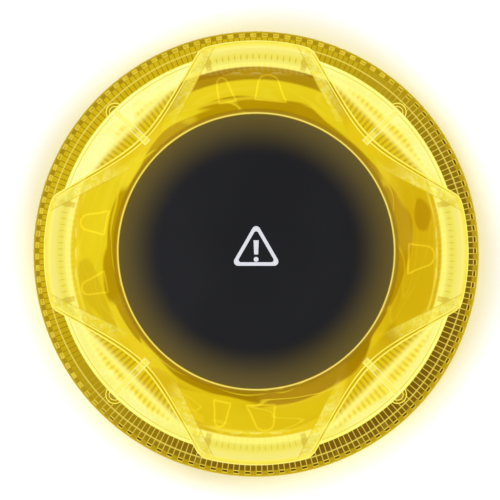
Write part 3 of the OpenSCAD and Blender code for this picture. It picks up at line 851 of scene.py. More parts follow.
@dataclass(frozen=True)
class CellFinish:
    """Shrink sleeve of a cell in two plain colours, with bare ends. Places along it in millimetres."""

    pale: tuple[float, float] = (-9.0, 9.0)
    sleeve_end: float = 19.4

    def make(self) -> bpy.types.Material:
        """Builds the material.

        Returns:
            The finished material.
        """
        g = Graph("cell_sleeve")
        x = g.axis("X")
        bands = x.band(*self.pale, 0.1)
        ends = 1 - abs(x).band(-1.0, self.sleeve_end, 0.05)
        crease = g.noise(700, 2.0, (4, 1, 1))
        colour = g.blend(g.blend(tone(28, 66, 118), tone(206, 160, 60), bands), tone(190, 190, 188), ends)
        return g.finish(
            Base_Color=colour, Roughness=0.3 + 0.1 * crease, Metallic=ends,
            Normal=g.bump(crease, 0.1, 0.0001),
        )


# ---------------------------------------------------------------- meshes


class Sheet:
    """A mesh under construction, with named number layers and face finishes."""

    def __init__(self) -> None:
        """Starts with nothing."""
        self.points: list[Point] = []
        self.faces: list[tuple[int, ...]] = []
        self.slots: list[int] = []
        self.layers: dict[str, list[float]] = {}

    def add_points(self, points: Iterable[Point], **layers: Sequence[float]) -> int:
        """Adds points with their layer values.

        Args:
            points: Points in millimetres.
            **layers: One value for each point, by layer.

        Returns:
            The first point's number.
        """
        first = len(self.points)
        self.points.extend(points)
        for name, values in layers.items():
            self.layers.setdefault(name, [0.0] * first).extend(values)
        return first

    def add_rows(self, rows: Sequence[Sequence[Point]], loop: bool, closed: bool) -> None:
        """Joins rows of points with quads.

        Args:
            rows: Rows of equal length.
            loop: Whether the last row joins the first.
            closed: Whether each row's last point joins its first.
        """
        wide = len(rows[0])
        first = self.add_points(point for row in rows for point in row)
        for i in range(len(rows) if loop else len(rows) - 1):
            for j in range(wide if closed else wide - 1):
                a, b = first + i * wide, first + (i + 1) % len(rows) * wide
                k = (j + 1) % wide
                self.faces.append((a + j, b + j, b + k, a + k))
                self.slots.append(0)

    def cap_ends(self, first: int, wide: int, count: int) -> None:
        """Closes the first and last of some closed rows with a face each.

        Args:
            first: The first row's first point.
            wide: Points in a row.
            count: Number of rows.
        """
        last = first + wide * (count - 1)
        self.faces += [tuple(range(first, first + wide))[::-1], tuple(range(last, last + wide))]
        self.slots += [0, 0]

    def spin(self, start: int, degrees: float) -> None:
        """Turns all points from a given one onwards about the upright axis."""
        turn = Matrix.Rotation(math.radians(degrees), 3, "Z")
        self.points[start:] = [tuple(turn @ Vector(point)) for point in self.points[start:]]

    def add_tube(self, route: Sequence[Point], radius: float, sides: int = 8, closed: bool = False) -> None:
        """Sweeps a round tube along a route.

        Args:
            route: Points in millimetres.
            radius: The tube's radius.
            sides: Points round the tube.
            closed: Whether the route's end meets its start.
        """
        line = [Vector(point) for point in route]
        count = len(line)
        rows = []
        for i, point in enumerate(line):
            ahead = line[(i + 1) % count] if closed or i < count - 1 else point
            behind = line[i - 1] if closed or i > 0 else point
            along = (ahead - behind).normalized()
            side = along.cross(Vector((0, 0, 1)))
            side = side.normalized() if side.length > 1e-6 else Vector((1, 0, 0))
            up = side.cross(along)
            spokes = (2 * math.pi * j / sides for j in range(sides))
            rows.append([tuple(point + radius * (math.cos(a) * side + math.sin(a) * up)) for a in spokes])
        first = len(self.points)
        self.add_rows(rows, loop=closed, closed=True)
        if not closed:
            self.cap_ends(first, sides, count)

    def add_turned(self, outline: Sequence[tuple[float, float]], count: int) -> None:
        """Turns a closed outline of (radius, height) points about the upright axis."""
        rows = [[polar(r, 360 * i / count, z) for r, z in outline] for i in range(count)]
        self.add_rows(rows, loop=True, closed=True)

    def add_plate(self, outline: Sequence[tuple[float, float]], z0: float, z1: float) -> None:
        """Raises a flat outline between two heights.

        Args:
            outline: Points of the outline, anticlockwise.
            z0: Lower height.
            z1: Upper height.
        """
        count = len(outline)
        first = self.add_points([(x, y, z) for z in (z0, z1) for x, y in outline])
        self.faces += [tuple(range(first, first + count))[::-1],
                       tuple(range(first + count, first + 2 * count))]
        for i in range(count):
            j = (i + 1) % count
            self.faces.append((first + i, first + j, first + count + j, first + count + i))
        self.slots += [0] * (count + 2)

    def build(
        self, name: str, finishes: Sequence[bpy.types.Material], smooth: float = 30.0,
    ) -> bpy.types.Object:
        """Makes the object.

        Args:
            name: The piece's name.
            finishes: Its materials in slot order.
            smooth: Largest angle in degrees that is shaded smooth.

        Returns:
            The new object, linked to the scene.
        """
        mesh = bpy.data.meshes.new(name)
        mesh.from_pydata([[MM * part for part in point] for point in self.points], [], self.faces)
        for layer, values in self.layers.items():
            values = values + [0.0] * (len(self.points) - len(values))
            mesh.attributes.new(layer, "FLOAT", "POINT").data.foreach_set("value", values)
        for finish in finishes:
            mesh.materials.append(finish)
        mesh.polygons.foreach_set("material_index", self.slots)
        mesh.validate()
        piece = bpy.data.objects.new(name, mesh)
        bpy.context.collection.objects.link(piece)
        with bpy.context.temp_override(object=piece, active_object=piece, selected_editable_objects=[piece]):
            bpy.ops.object.shade_smooth_by_angle(angle=math.radians(smooth))
        return piece


def joined(piece: bpy.types.Object, slot: str, *replaced: str, body: str = HOUSING) -> bpy.types.Object:
    """Rides a piece on a body, hides the CAD nodes that it stands for, and reports it.

    Args:
        piece: The new piece.
        slot: Name of a material slot; not used.
        *replaced: CAD nodes that the piece stands for.
        body: The body it rides on.

    Returns:
        The same piece.
    """
    if replaced:
        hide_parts(*replaced)
    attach(piece, body)
    LOG.info("%s: %d faces on %s", piece.name, len(piece.data.polygons), body)
    return piece


def dress(finish: bpy.types.Material, *nodes: str) -> None:
    """Gives CAD nodes a finish in all their slots.

    Args:
        finish: The material.
        *nodes: The nodes' names.
    """
    for name in nodes:
        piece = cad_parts[name]
        if not piece.data.materials:
            piece.data.materials.append(finish)
        for slot in piece.material_slots:
            slot.link = "OBJECT"
            slot.material = finish
        LOG.info("%s: %s", name, finish.name)


# ---------------------------------------------------------------- lens cover


class Zone(Enum):
    """The lens cover's areas, in the order of their finishes."""

    CROWN = 0
    WINDOW = 1
    STEP = 2
    WALL = 3
    SHELF = 4
    SKIRT = 5
    INSIDE = 6
    NOTCH = 7
    LIP = 8


@dataclass
class LensCover:
    """Crowned lens with four lobes and four windows, on a toothed skirt. Sizes in millimetres."""

    skin: AmberSkin = field(default_factory=AmberSkin)
    wall: float = 1.7

    # seat and collar for the cap
    cap_seat_r: float = 29.2
    neck_r: float = 26.8
    seat_z: float = 39.2
    neck_z: float = 36.9
    collar_h: float = 1.4
    collar_edge: float = 0.3

    # crown, from the collar out to the lobes: how far it bulges, where it ends and how a wall moves its end
    crown_z: float = 39.9
    lobe_z: float = 28.4
    crown_bulge: float = 1.1
    crown_end: tuple[float, float] = (1.6, 0.4)
    crown_skew: tuple[float, float] = (0.6, 0.8)

    # drum and its dome, seen through the windows
    drum_z: float = 26.9
    drum_bulge: float = 0.5
    drum_start: tuple[float, float] = (0.5, 0.7)
    drum_end: tuple[float, float] = (0.8, 0.5)
    drum_skew: float = 0.7
    shoulder_drop: float = 0.9

    # windows: where each starts on its diagonal, how its edge rounds and opens, and its small steps
    window_start: float = 34.6
    window_soft: float = 3.0
    window_slope: float = 0.347
    valley_soft: float = 0.5
    lobe_soft: float = 0.9
    edge_round: float = 0.45
    step_lean: float = 0.18
    step_shares: tuple[float, float] = (0.12, 0.88)
    corner_start: float = 11.0
    corner_spread: float = 10.0
    farthest: float = 90.0

    # shelf, skirt, and the teeth with their notches
    shelf_top: float = 13.0
    shelf_under: float = 11.2
    band_z: float = 11.4
    skirt_z: float = 4.7
    skirt_in_r: float = 47.9
    tip_r: float = 49.6
    root_r: float = 49.1
    notch_in_r: float = 48.95
    notch_out_r: float = 49.38
    groove: float = 0.35
    bevel: float = 0.12
    teeth: int = 120
    tooth_steps: tuple[float, ...] = (0.0, 0.03, 0.25, 0.47, 0.5, 0.75)

    # faces down the crown, the dome and the wall
    rows: tuple[int, int, int] = (18, 12, 4)

    # beads by inset and radius, those at the foot by how far out, up and round, the bars and the posts
    beads: tuple[tuple[float, float], ...] = ((0.12, 0.17), (0.95, 0.14))
    foot_beads: tuple[tuple[float, float, float], ...] = ((-0.55, -0.1, 26.0), (0.06, -1.2, 27.0))
    foot_bead_r: float = 0.12
    bar_w: float = 1.3
    bar_h: float = 1.3
    bar_crest: float = 0.12
    post_at: float = 0.3
    post_h: float = 6.0
    post_rings: tuple[float, float] = (1.25, 1.98)
    post_ring_r: float = 0.11

    def window_edge(self, off: float, inset: float) -> float:
        """Radius of the window's edge at an angle off its diagonal.

        Args:
            off: Degrees from the nearest diagonal.
            inset: How far the edge lies inwards.

        Returns:
            The radius in millimetres.
        """
        sine, cosine = math.sin(math.radians(off)), math.cos(math.radians(off))
        low, high = self.window_start - inset, self.farthest
        for _ in range(40):
            radius = (low + high) / 2
            edge = self.window_start - inset - self.window_soft
            edge += math.hypot(self.window_soft, self.window_slope * radius * sine)
            low, high = (radius, high) if radius * cosine < edge else (low, radius)
        return low

    def _bulged(self, a: tuple[float, float], b: tuple[float, float], bulge: float, radius: float) -> float:
        """Height of a bulged line at a radius.

        Args:
            a: The line's start as radius and height.
            b: Its end.
            bulge: How far it bulges outwards.
            radius: Where its height is wanted.

        Returns:
            The height in millimetres.
        """
        low, high = -0.3, 1.3
        for _ in range(30):
            t = (low + high) / 2
            at = mix(a[0], b[0], t) + bulge * 2 * t * (1 - t)
            low, high = (t, high) if at < radius else (low, t)
        return mix(a[1], b[1], low) + bulge * 4 * low * (1 - low)

    def crown_height(self, radius: float, inset: float = 0.0) -> float:
        """Height of the crown at a radius.

        Args:
            radius: Distance from the axis.
            inset: Wall thickness to move inwards.

        Returns:
            The height in millimetres.
        """
        (back, rise), (skew_r, skew_z) = self.crown_end, self.crown_skew
        end = (self.skin.lobe_r - back - skew_r * inset, self.lobe_z + rise - skew_z * inset)
        return self._bulged((self.skin.collar_r, self.crown_z - inset), end, self.crown_bulge, radius)

    def drum_height(self, radius: float, inset: float = 0.0) -> float:
        """Height of the drum's dome at a radius.

        Args:
            radius: Distance from the axis.
            inset: Wall thickness to move inwards.

        Returns:
            The height in millimetres.
        """
        fall = (self.crown_z - self.lobe_z) / (self.skin.lobe_r - self.skin.collar_r)
        line = self.crown_z - (self.window_start - self.skin.collar_r) * fall
        skew = self.drum_skew * inset
        start = (self.window_start - self.drum_start[0] - skew, line + self.drum_start[1] - skew)
        end = (self.skin.drum_r - self.drum_end[0] - skew, self.drum_z + self.drum_end[1] - skew)
        under_crown = self.crown_height(radius, inset) - 0.05
        return min(self._bulged(start, end, self.drum_bulge, radius), under_crown)

    def side(self, off: float, inset: float) -> list[tuple[float, float, Zone]]:
        """The crown, step, dome and wall at one angle, from the collar down.

        Args:
            off: Degrees from the nearest diagonal.
            inset: Wall thickness to move inwards.

        Returns:
            Points of radius and height with the zone of the face that follows.
        """
        trim = self.window_edge(off, inset)
        outer = -soft_least(-trim, inset - self.skin.drum_r, self.valley_soft)
        outer = soft_least(outer, self.skin.lobe_r - inset, self.lobe_soft)
        start = self.skin.collar_r if inset == 0 else self.cap_seat_r
        stop = min(trim, outer - self.edge_round)
        rows = []
        crown_rows, dome_rows, wall_rows = self.rows
        for i in range(crown_rows + 1):
            radius = mix(start, stop, i / crown_rows)
            rows.append((radius, self.crown_height(radius, inset), Zone.CROWN))
        top = rows[-1][1]
        in_window = trim < self.skin.drum_r - inset
        low = self.drum_height(trim, inset) if in_window else top - 0.5
        rows[-1] = (rows[-1][0], top, Zone.STEP)
        lean = 0.0 if in_window else self.step_lean
        for share in self.step_shares:
            rows.append((min(trim, outer) + lean * share, mix(top, low, share), Zone.STEP))
        shoulder = self.drum_z - self.shoulder_drop - inset * 0.5
        for i in range(dome_rows + 1):
            share = i / dome_rows
            if in_window:
                radius = mix(trim, outer - 0.5, share)
                height = self.drum_height(radius, inset)
                zone = Zone.WINDOW
            else:
                radius = outer
                height = mix(low - 0.4, shoulder + 0.6, share)
                zone = Zone.WALL
            rows.append((radius, height, zone))
        last = rows[-1]
        rows.append((mix(last[0], outer, 0.7), mix(last[1], shoulder, 0.45), rows[-1][2]))
        floor = self.shelf_top if inset == 0 else self.shelf_under
        for i in range(wall_rows + 1):
            rows.append((outer, mix(shoulder, floor + 0.3, i / wall_rows), Zone.WALL))
        return rows

    def column(self, degrees: float, tip: bool) -> list[tuple[float, float, Zone, float]]:
        """The whole closed section at one angle.

        Args:
            degrees: Angle round the axis.
            tip: Whether the angle lies on a tooth.

        Returns:
            Points of radius and height, the zone of the face that follows, and the gap to the window's edge.
        """
        off = off_diagonal(degrees)
        rim = self.tip_r if tip else self.root_r
        drop = self.groove if tip else 0.0
        lip, floor = (Zone.LIP, Zone.NOTCH) if tip else (Zone.SHELF, Zone.SHELF)
        root = self.skirt_in_r
        flat = self.shelf_top
        trim = self.window_edge(off, 0.0)
        seat_top = self.seat_z + self.collar_h
        collar_r, skirt_r = self.skin.collar_r, self.skin.rim_r
        rows = [(self.cap_seat_r, self.seat_z, Zone.INSIDE), (self.cap_seat_r, seat_top, Zone.CROWN),
                (collar_r - self.collar_edge, seat_top, Zone.CROWN),
                (collar_r, seat_top - self.collar_edge, Zone.CROWN)]
        rows += self.side(off, 0.0)
        outer = rows[-1][0]
        rows[-1] = (*rows[-1][:2], Zone.SHELF)
        lip_r = self.notch_in_r - 0.22
        rows += [(mix(outer + 0.3, lip_r, share), flat, Zone.SHELF) for share in (0.0, 0.33, 0.66)]
        rows += [(lip_r, flat, lip), (self.notch_in_r, flat - drop, floor),
                 (self.notch_out_r, flat - drop, lip), (self.notch_out_r + 0.18, flat, Zone.SHELF),
                 (skirt_r - self.bevel, flat, Zone.SKIRT), (skirt_r, flat - self.bevel, Zone.SKIRT),
                 (skirt_r, self.band_z + self.bevel, Zone.SKIRT),
                 (skirt_r - self.bevel, self.band_z, Zone.SKIRT),
                 (rim, self.band_z, Zone.SKIRT), (rim, mix(self.skirt_z, self.band_z, 0.5), Zone.SKIRT),
                 (rim, self.skirt_z + 0.15, Zone.SKIRT), (rim - 0.15, self.skirt_z, Zone.SKIRT),
                 (root, self.skirt_z, Zone.INSIDE), (root, self.shelf_under, Zone.INSIDE)]
        inner = self.side(off, self.wall)[::-1]
        rows += [(inner[0][0], self.shelf_under, Zone.INSIDE)]
        rows += [(radius, height, Zone.INSIDE) for radius, height, _ in inner[:-1]]
        rows += [(self.cap_seat_r - 0.2, self.neck_z, Zone.INSIDE), (self.neck_r, self.neck_z, Zone.INSIDE),
                 (self.neck_r, self.seat_z, Zone.INSIDE)]
        return [(*row, trim - row[0]) for row in rows]

    def finishes(self) -> list[bpy.types.Material]:
        """Makes the finish of each zone.

        Returns:
            The materials in the zones' order.
        """
        # each finish paints the lens's light and shade in its emission colour
        by_zone = {
            Zone.CROWN: CrownFinish(self.skin),
            Zone.WINDOW: WindowFinish(self.skin),
            Zone.STEP: GlowFinish("amber_step", tone(255, 246, 96), 0.95, 0.9),
            Zone.WALL: GlowFinish("amber_wall", tone(250, 226, 40), 0.85, 0.72),
            Zone.SHELF: ShelfFinish(self.skin),
            Zone.SKIRT: SkirtFinish(self.skin),
            Zone.INSIDE: GlowFinish("amber_inside", tone(226, 190, 10), 0.5, 0.12),
            Zone.NOTCH: NotchFinish(self.skin),
            Zone.LIP: GlowFinish("amber_lip", tone(238, 214, 70), 0.95),
        }
        return [by_zone[zone].make() for zone in Zone]

    def build(self) -> None:
        """Builds the cover with its beads, bars and posts."""
        sheet = Sheet()
        pitch = 360 / self.teeth
        angles = [(i + share) * pitch for i in range(self.teeth) for share in self.tooth_steps]
        tips = [0 < share < 0.5 for _ in range(self.teeth) for share in self.tooth_steps]
        columns = [self.column(angle, tip) for angle, tip in zip(angles, tips)]
        tall = len(columns[0])
        points, gaps, corners = [], [], []
        for angle, column in zip(angles, columns):
            corner = min(1.0, max(0.0, (off_diagonal(angle) - self.corner_start) / self.corner_spread))
            for radius, height, _, gap in column:
                points.append(polar(radius, angle, height))
                gaps.append(gap)
                corners.append(corner)
        sheet.add_points(points, gap=gaps, corner=corners)
        for i in range(len(columns)):
            k = (i + 1) % len(columns)
            for j in range(tall):
                m = (j + 1) % tall
                sheet.faces.append((i * tall + j, i * tall + m, k * tall + m, k * tall + j))
                zone = columns[i][j][2]
                by_notch = self.notch_in_r - 0.3 < columns[i][j][0] < self.notch_out_r + 0.1
                if zone in (Zone.NOTCH, Zone.SHELF) and columns[k][j][2] is not zone and by_notch:
                    zone = Zone.LIP
                sheet.slots.append(zone.value)
        joined(sheet.build("lens_cover_moulding", self.finishes(), 24.0), "amber_lens", "lens_cover")
        self.build_beads()
        self.build_bars()
        self.build_posts()

    def build_beads(self) -> None:
        """Two fine beads along each window's upper edge, two round its foot, and rings on the posts, all
        glowing to paint bright highlight lines.
        """
        sheet = Sheet()
        for diagonal in DIAGONALS:
            for inset, radius in self.beads:
                route = []
                for i in range(-58, 59):
                    off = i / 2
                    edge = min(self.window_edge(abs(off), 0.0), self.skin.lobe_r - 0.6) - inset
                    route.append(polar(edge, diagonal + off, self.crown_height(edge) + 0.02))
                sheet.add_tube(route, radius)
            for out, up, reach in self.foot_beads:
                radius, height = self.skin.drum_r + out, self.drum_z + up
                route = [polar(radius, diagonal + off, height) for off in steps(-reach, reach, 104)]
                sheet.add_tube(route, self.foot_bead_r)
            post_top = self.shelf_top + self.post_h - 0.05
            centre = Vector(polar(self.skin.drum_r + self.post_at, diagonal, post_top))
            for radius in self.post_rings:
                ring = [tuple(centre + Vector(polar(radius, angle))) for angle in steps(0, 360, 36)[:-1]]
                sheet.add_tube(ring, self.post_ring_r, sides=6, closed=True)
        # painted highlight glow of the beads
        finish = GlowFinish("amber_bead", tone(255, 246, 104), 1.0, 1.0, 0.1).make()
        joined(sheet.build("window_beads", [finish], 60.0), "amber_lens")

    def build_bars(self) -> None:
        """The raised radial bar under each window, in a bright painted glow."""
        sheet = Sheet()
        half = self.bar_w / 2
        for diagonal in DIAGONALS:
            start = len(sheet.points)
            rows = []
            for radius in steps(self.window_start - 1.4, self.skin.drum_r - 2.2, 16):
                top = self.drum_height(max(radius, self.window_start), self.wall) + 0.1
                edge, crest, foot = half * 0.6, top + self.bar_crest, top - self.bar_h
                rows.append([(radius, -half, foot), (radius, half, foot), (radius, half, top),
                             (radius, edge, crest), (radius, -edge, crest), (radius, -half, top)])
            sheet.add_rows(rows, loop=False, closed=True)
            sheet.cap_ends(start, len(rows[0]), len(rows))
            sheet.spin(start, diagonal)
        # painted bright glow of the bars
        finish = GlowFinish("amber_bar", tone(255, 252, 150), 1.0, 1.0).make()
        joined(sheet.build("window_bars", [finish], 50.0), "amber_lens")

    def build_posts(self) -> None:
        """Screw posts that stand half out of the drum on the diagonals, in a painted glow."""
        sheet = Sheet()
        top = self.shelf_top + self.post_h
        bore, hollow, post = 0.4, 1.25, 2.1
        bevel, skin = 0.3, 1.6
        outline = [(hollow, self.shelf_under), (post, self.shelf_under), (post, top - bevel),
                   (post - bevel, top), (bore, top), (bore, top - skin), (hollow, top - skin)]
        for diagonal in DIAGONALS:
            start = len(sheet.points)
            sheet.add_turned(outline, 40)
            shift = Vector(polar(self.skin.drum_r + self.post_at, diagonal))
            sheet.points[start:] = [tuple(Vector(point) + shift) for point in sheet.points[start:]]
        # painted glow of the posts
        finish = GlowFinish("amber_post", tone(190, 154, 10), 0.8, 0.5).make()
        joined(sheet.build("screw_posts", [finish]), "amber_lens")


# ---------------------------------------------------------------- light engine


@dataclass
class LightEngine:
    """Lamps, boards, reflector and diffuser inside the lens. Sizes in millimetres."""

    flute_pitch: float = 1.8
    core_r: float = 28.0
    lamp_margin: float = 1.5
    lamp_half: float = 1.5
    lamp_edge: float = 1.38
    lamp_body: tuple[float, float] = (0.3, 0.34)
    lamp_dome: float = 1.25
    lamp_sides: int = 32
    clip_r: float = 33.4
    clip_h: float = 5.4
    clip_line_r: float = 0.2
    clips: tuple[tuple[float, float], ...] = (
        (-1.0, 4.2), (86.0, 4.4), (101.5, 2.4), (170.0, 3.4), (192.0, 3.0), (273.0, 4.0), (258.0, 2.4),
    )

    def build(self) -> None:
        """Dresses the CAD pieces and adds the lamp domes and clips."""
        dress(FluteFinish(self.flute_pitch).make(), "fluted_diffuser")
        dress(ReflectorFinish(self.core_r).make(), "reflector_tray")
        # the lamp boards carry a painted glow of their lamps' light
        board = BoardFinish("lamp_board_mask", tone(236, 232, 214), tone(220, 214, 190), 0.5).make()
        dress(board, *(f"lamp_board_{side}" for side in ("east", "north", "west", "south")))
        dress(MouldedFinish("flex_film", tone(190, 110, 20), 0.3, 900, 0.1).make(),
              "lamp_leads", "switch_lead")
        self.build_lamps()
        self.build_clips()

    def build_lamps(self) -> None:
        """Three square lamp packages with domed lenses on each board, in place of the plain blocks."""
        sheet = Sheet()
        low, high = (Vector(corner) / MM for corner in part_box("lamp_board_east"))
        face, middle = high.x, (low.z + high.z) / 2
        pitch = (high.y - low.y - self.lamp_margin) / 3
        shoulder, crown = self.lamp_body
        sides = self.lamp_sides
        for cardinal in CARDINALS:
            start = len(sheet.points)
            for place in (-pitch, 0.0, pitch):
                rows = []
                profile = [(0.0, self.lamp_half, 4), (shoulder, self.lamp_half, 4)]
                profile += [(crown, self.lamp_edge, 4)]
                profile += [(crown + crown * math.sin(a), self.lamp_dome * math.cos(a), 2)
                            for a in steps(0.0, math.pi / 2 - 0.12, 6)]
                for out, size, power in profile:
                    ring = []
                    for k in range(sides):
                        angle = 2 * math.pi * (k + 0.5) / sides
                        c, s = math.cos(angle), math.sin(angle)
                        reach = size / (abs(c) ** (2 * power) + abs(s) ** (2 * power)) ** (0.5 / power)
                        ring.append((face + out, place + reach * c, middle + reach * s))
                    rows.append(ring)
                first = len(sheet.points)
                sheet.add_rows(rows, loop=False, closed=True)
                sheet.cap_ends(first, sides, len(rows))
            sheet.spin(start, cardinal)
        finish = GlowFinish("lit_lamp", tone(255, 250, 170), 1.6).make()
        joined(sheet.build("lamp_domes", [finish]), "lamp_amber", "lamps")

    def build_clips(self) -> None:
        """Snap clips moulded on the reflector's tray, drawn only as glowing outline tubes that paint their
        bright edges seen through the crown.
        """
        sheet = Sheet()
        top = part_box("reflector_tray")[1][2] / MM
        for degrees, width in self.clips:
            outline = []
            # down one flank and up the other, which flares more towards its foot
            for side in (-1, 1):
                for share in steps(0.0, 1.0, 12)[::side]:
                    flare = 0.55 + 0.45 * (1 - share) ** 2 if side > 0 else 0.5 + 0.1 * (1 - share) ** 3
                    rounding = math.sqrt(max(0.0, 1 - share ** 6))
                    radius = mix(self.clip_r, self.clip_r + self.clip_h, share)
                    off = side * width * flare * (0.25 + 0.75 * rounding)
                    outline.append(polar(radius, degrees - math.degrees(off / radius), top + 0.2))
            sheet.add_tube(outline, self.clip_line_r, sides=6, closed=True)
        # painted highlight glow of the clip outlines
        finish = GlowFinish("amber_clip", tone(248, 226, 56), 2.4).make()
        joined(sheet.build("tray_clips", [finish], 60.0), "reflector_yellow")


# ---------------------------------------------------------------- cap


@dataclass
class Cap:
    """Dark cap in the middle with a plain printed hazard triangle. Sizes in millimetres."""

    cap_r: float = 29.1
    triangle: float = 6.2
    stroke: float = 0.75
    ink: float = 0.03
    sunk: float = 0.1
    corners: tuple[float, float] = (0.9, 0.5)
    bar: tuple[tuple[float, float], ...] = ((-0.42, -0.7), (0.42, -0.7), (0.55, 2.3), (-0.55, 2.3))
    dot_r: float = 0.52
    dot_y: float = -1.75

    def build(self) -> None:
        """Dresses the cap and prints the sign."""
        dress(CapFinish(self.cap_r).make(), "top_cap")
        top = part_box("top_cap")[1][2] / MM
        sheet = Sheet()
        outer = self.rounded(self.triangle, self.corners[0])
        inner = self.rounded(self.triangle - 2 * self.stroke, self.corners[1])
        low, high = top - self.sunk, top + self.ink
        rows = [[(x, y, z) for x, y in line] for line, z in
                ((outer, low), (outer, high), (inner, high), (inner, low))]
        sheet.add_rows(rows, loop=True, closed=True)
        sheet.add_plate(self.bar, low, high)
        dot = [(self.dot_r * math.cos(a), self.dot_y + self.dot_r * math.sin(a))
               for a in steps(0, 2 * math.pi, 24)[:-1]]
        sheet.add_plate(dot, low, high)
        finish = MouldedFinish("pale_ink", tone(176, 176, 180), 0.5, 2600, 0.05, 0.1).make()
        joined(sheet.build("hazard_sign", [finish]), "black_cap")

    def rounded(self, size: float, corner: float) -> list[tuple[float, float]]:
        """A triangle with round corners, point up.

        Args:
            size: Distance from its middle to a sharp corner.
            corner: Radius of its corners.

        Returns:
            The outline's points.
        """
        reach = size - 2 * corner
        points = []
        for tip in (90, 210, 330):
            centre = polar(reach, tip)
            for swing in steps(-60, 60, 8):
                edge = polar(corner, tip + swing)
                points.append((centre[0] + edge[0], centre[1] + edge[1]))
        return points


# ---------------------------------------------------------------- the rest


@dataclass
class Base:
    """Base, pad, door, button and everything inside the core. Sizes in millimetres."""

    wire_r: float = 0.3
    foot_r: float = 3.4
    tip_r: float = 2.0
    press_wire_r: float = 0.25
    press_keep: float = 0.8

    def build(self) -> None:
        """Dresses the base and what it carries."""
        dress(MouldedFinish("base_plastic", tone(30, 29, 28), 0.45).make(), "base_tray")
        dress(MouldedFinish("door_plastic", tone(36, 36, 37), 0.5).make(), "battery_door")
        dress(MouldedFinish("pad_rubber", tone(24, 24, 25), 0.8, 1600, 0.5).make(), "foot_pad")
        dress(MouldedFinish("seal_rubber", tone(20, 20, 21), 0.6, 1600, 0.2).make(),
              "cap_gasket", "base_gasket", "button_seal")
        dress(MouldedFinish("red_silicone", tone(150, 44, 34), 0.5, 1600, 0.1).make(), "door_seal")
        dress(MouldedFinish("button_plastic", tone(196, 40, 30), 0.45).make(), "power_button")
        dress(MetalFinish("magnet_plate", tone(214, 212, 206), 0.18).make(), "magnets")
        dress(MetalFinish("zinc", tone(196, 200, 204), 0.3, Lay.TURNED).make(),
              "housing_screws", "board_screws")
        plated = MetalFinish("spring_plate", tone(216, 212, 200), 0.25).make()
        self.build_cell_springs(plated)
        self.build_button_spring(plated)
        dress(plated, "contact_plates")
        dress(MetalFinish("turned_brass", tone(206, 168, 84), 0.25, Lay.TURNED).make(), "board_spacers")
        dress(MetalFinish("tinned_can", tone(200, 202, 204), 0.35, Lay.BRUSHED).make(), "modem_module")

    def coil(
        self, radii: tuple[float, float], length: float, wire: float, turns: float = 3.0,
    ) -> list[Point]:
        """The line of a wire wound up the Z axis, with a closed flat turn at each end.

        Args:
            radii: Radius at its foot and at its tip.
            length: Height over the wire.
            wire: Radius of the wire.
            turns: Open turns.

        Returns:
            Points from the foot up.
        """
        rise = length - 6 * wire
        route = []
        for t in steps(-1.0, turns + 1.0, 32 * int(turns + 2)):
            share = min(1.0, max(0.0, t / turns))
            ends = min(0.0, t) + max(0.0, t - turns)
            route.append(polar(mix(*radii, share), 360 * t, (3 + 2 * ends) * wire + rise * share))
        return route

    def build_cell_springs(self, finish: bpy.types.Material) -> None:
        """Three conical contact springs, each between its plate and its cell.

        Args:
            finish: Their material.
        """
        low, high = (Vector(corner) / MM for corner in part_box("contact_springs"))
        cells = [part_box(f"battery_cell_{row}") for row in ("front", "middle", "rear")]
        sheet = Sheet()
        for start_cell, end_cell in cells:
            left, right = start_cell[0] / MM, end_cell[0] / MM
            middle = (Vector(start_cell) + Vector(end_cell)) / 2 / MM
            at_left = left - low.x > high.x - right
            foot = low.x if at_left else high.x
            length = left - low.x - 0.02 if at_left else high.x - right - 0.02
            route = self.coil((self.foot_r, self.tip_r), length, self.wire_r)
            side = 1 if at_left else -1
            line = [(foot + side * z, middle.y + y, middle.z + side * x) for x, y, z in route]
            sheet.add_tube(line, self.wire_r, sides=10)
        joined(sheet.build("cell_springs", [finish], 60.0), "contact_nickel", "contact_springs")

    def build_button_spring(self, finish: bpy.types.Material) -> None:
        """The button's return spring, wound up to its fixed upper end.

        Args:
            finish: Its material.
        """
        low, high = (Vector(corner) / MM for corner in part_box("button_spring"))
        middle = (low + high) / 2
        route = self.coil((self.foot_r, self.foot_r), high.z - low.z, self.press_wire_r, 2.0)
        line = [(middle.x + x, middle.y + y, low.z + z) for x, y, z in route]
        sheet = Sheet()
        sheet.add_tube(line, self.press_wire_r, sides=10)
        spring = joined(sheet.build("return_spring", [finish], 60.0), "contact_nickel", "button_spring")
        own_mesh(spring)

    def build_core(self) -> None:
        """Dresses the core housing, the boards and their parts."""
        dress(MouldedFinish("core_plastic", tone(38, 37, 36), 0.5).make(), "core_housing", "battery_holder")
        dress(BoardFinish("green_board", tone(18, 84, 46), tone(34, 116, 66)).make(),
              "main_board", "aerial_board", "switch_board")
        dress(MouldedFinish("chip_epoxy", tone(26, 26, 28), 0.4, 5000, 0.1).make(),
              "sim_chip", "controller_chip", "switch_body")
        dress(MouldedFinish("ferrite", tone(62, 62, 66), 0.65, 2400, 0.4).make(), "boost_inductor")
        dress(MouldedFinish("fired_ceramic", tone(196, 176, 140), 0.55, 3000, 0.15).make(),
              "positioning_aerial")
        dress(MouldedFinish("white_carrier", tone(224, 222, 212), 0.4).make(),
              "cellular_aerial", "switch_plunger")
        dress(CellFinish().make(), *(f"battery_cell_{row}" for row in ("front", "middle", "rear")))
        dress(MouldedFinish("red_wire", tone(176, 28, 20), 0.35).make(), "battery_leads")


# ---------------------------------------------------------------- studio


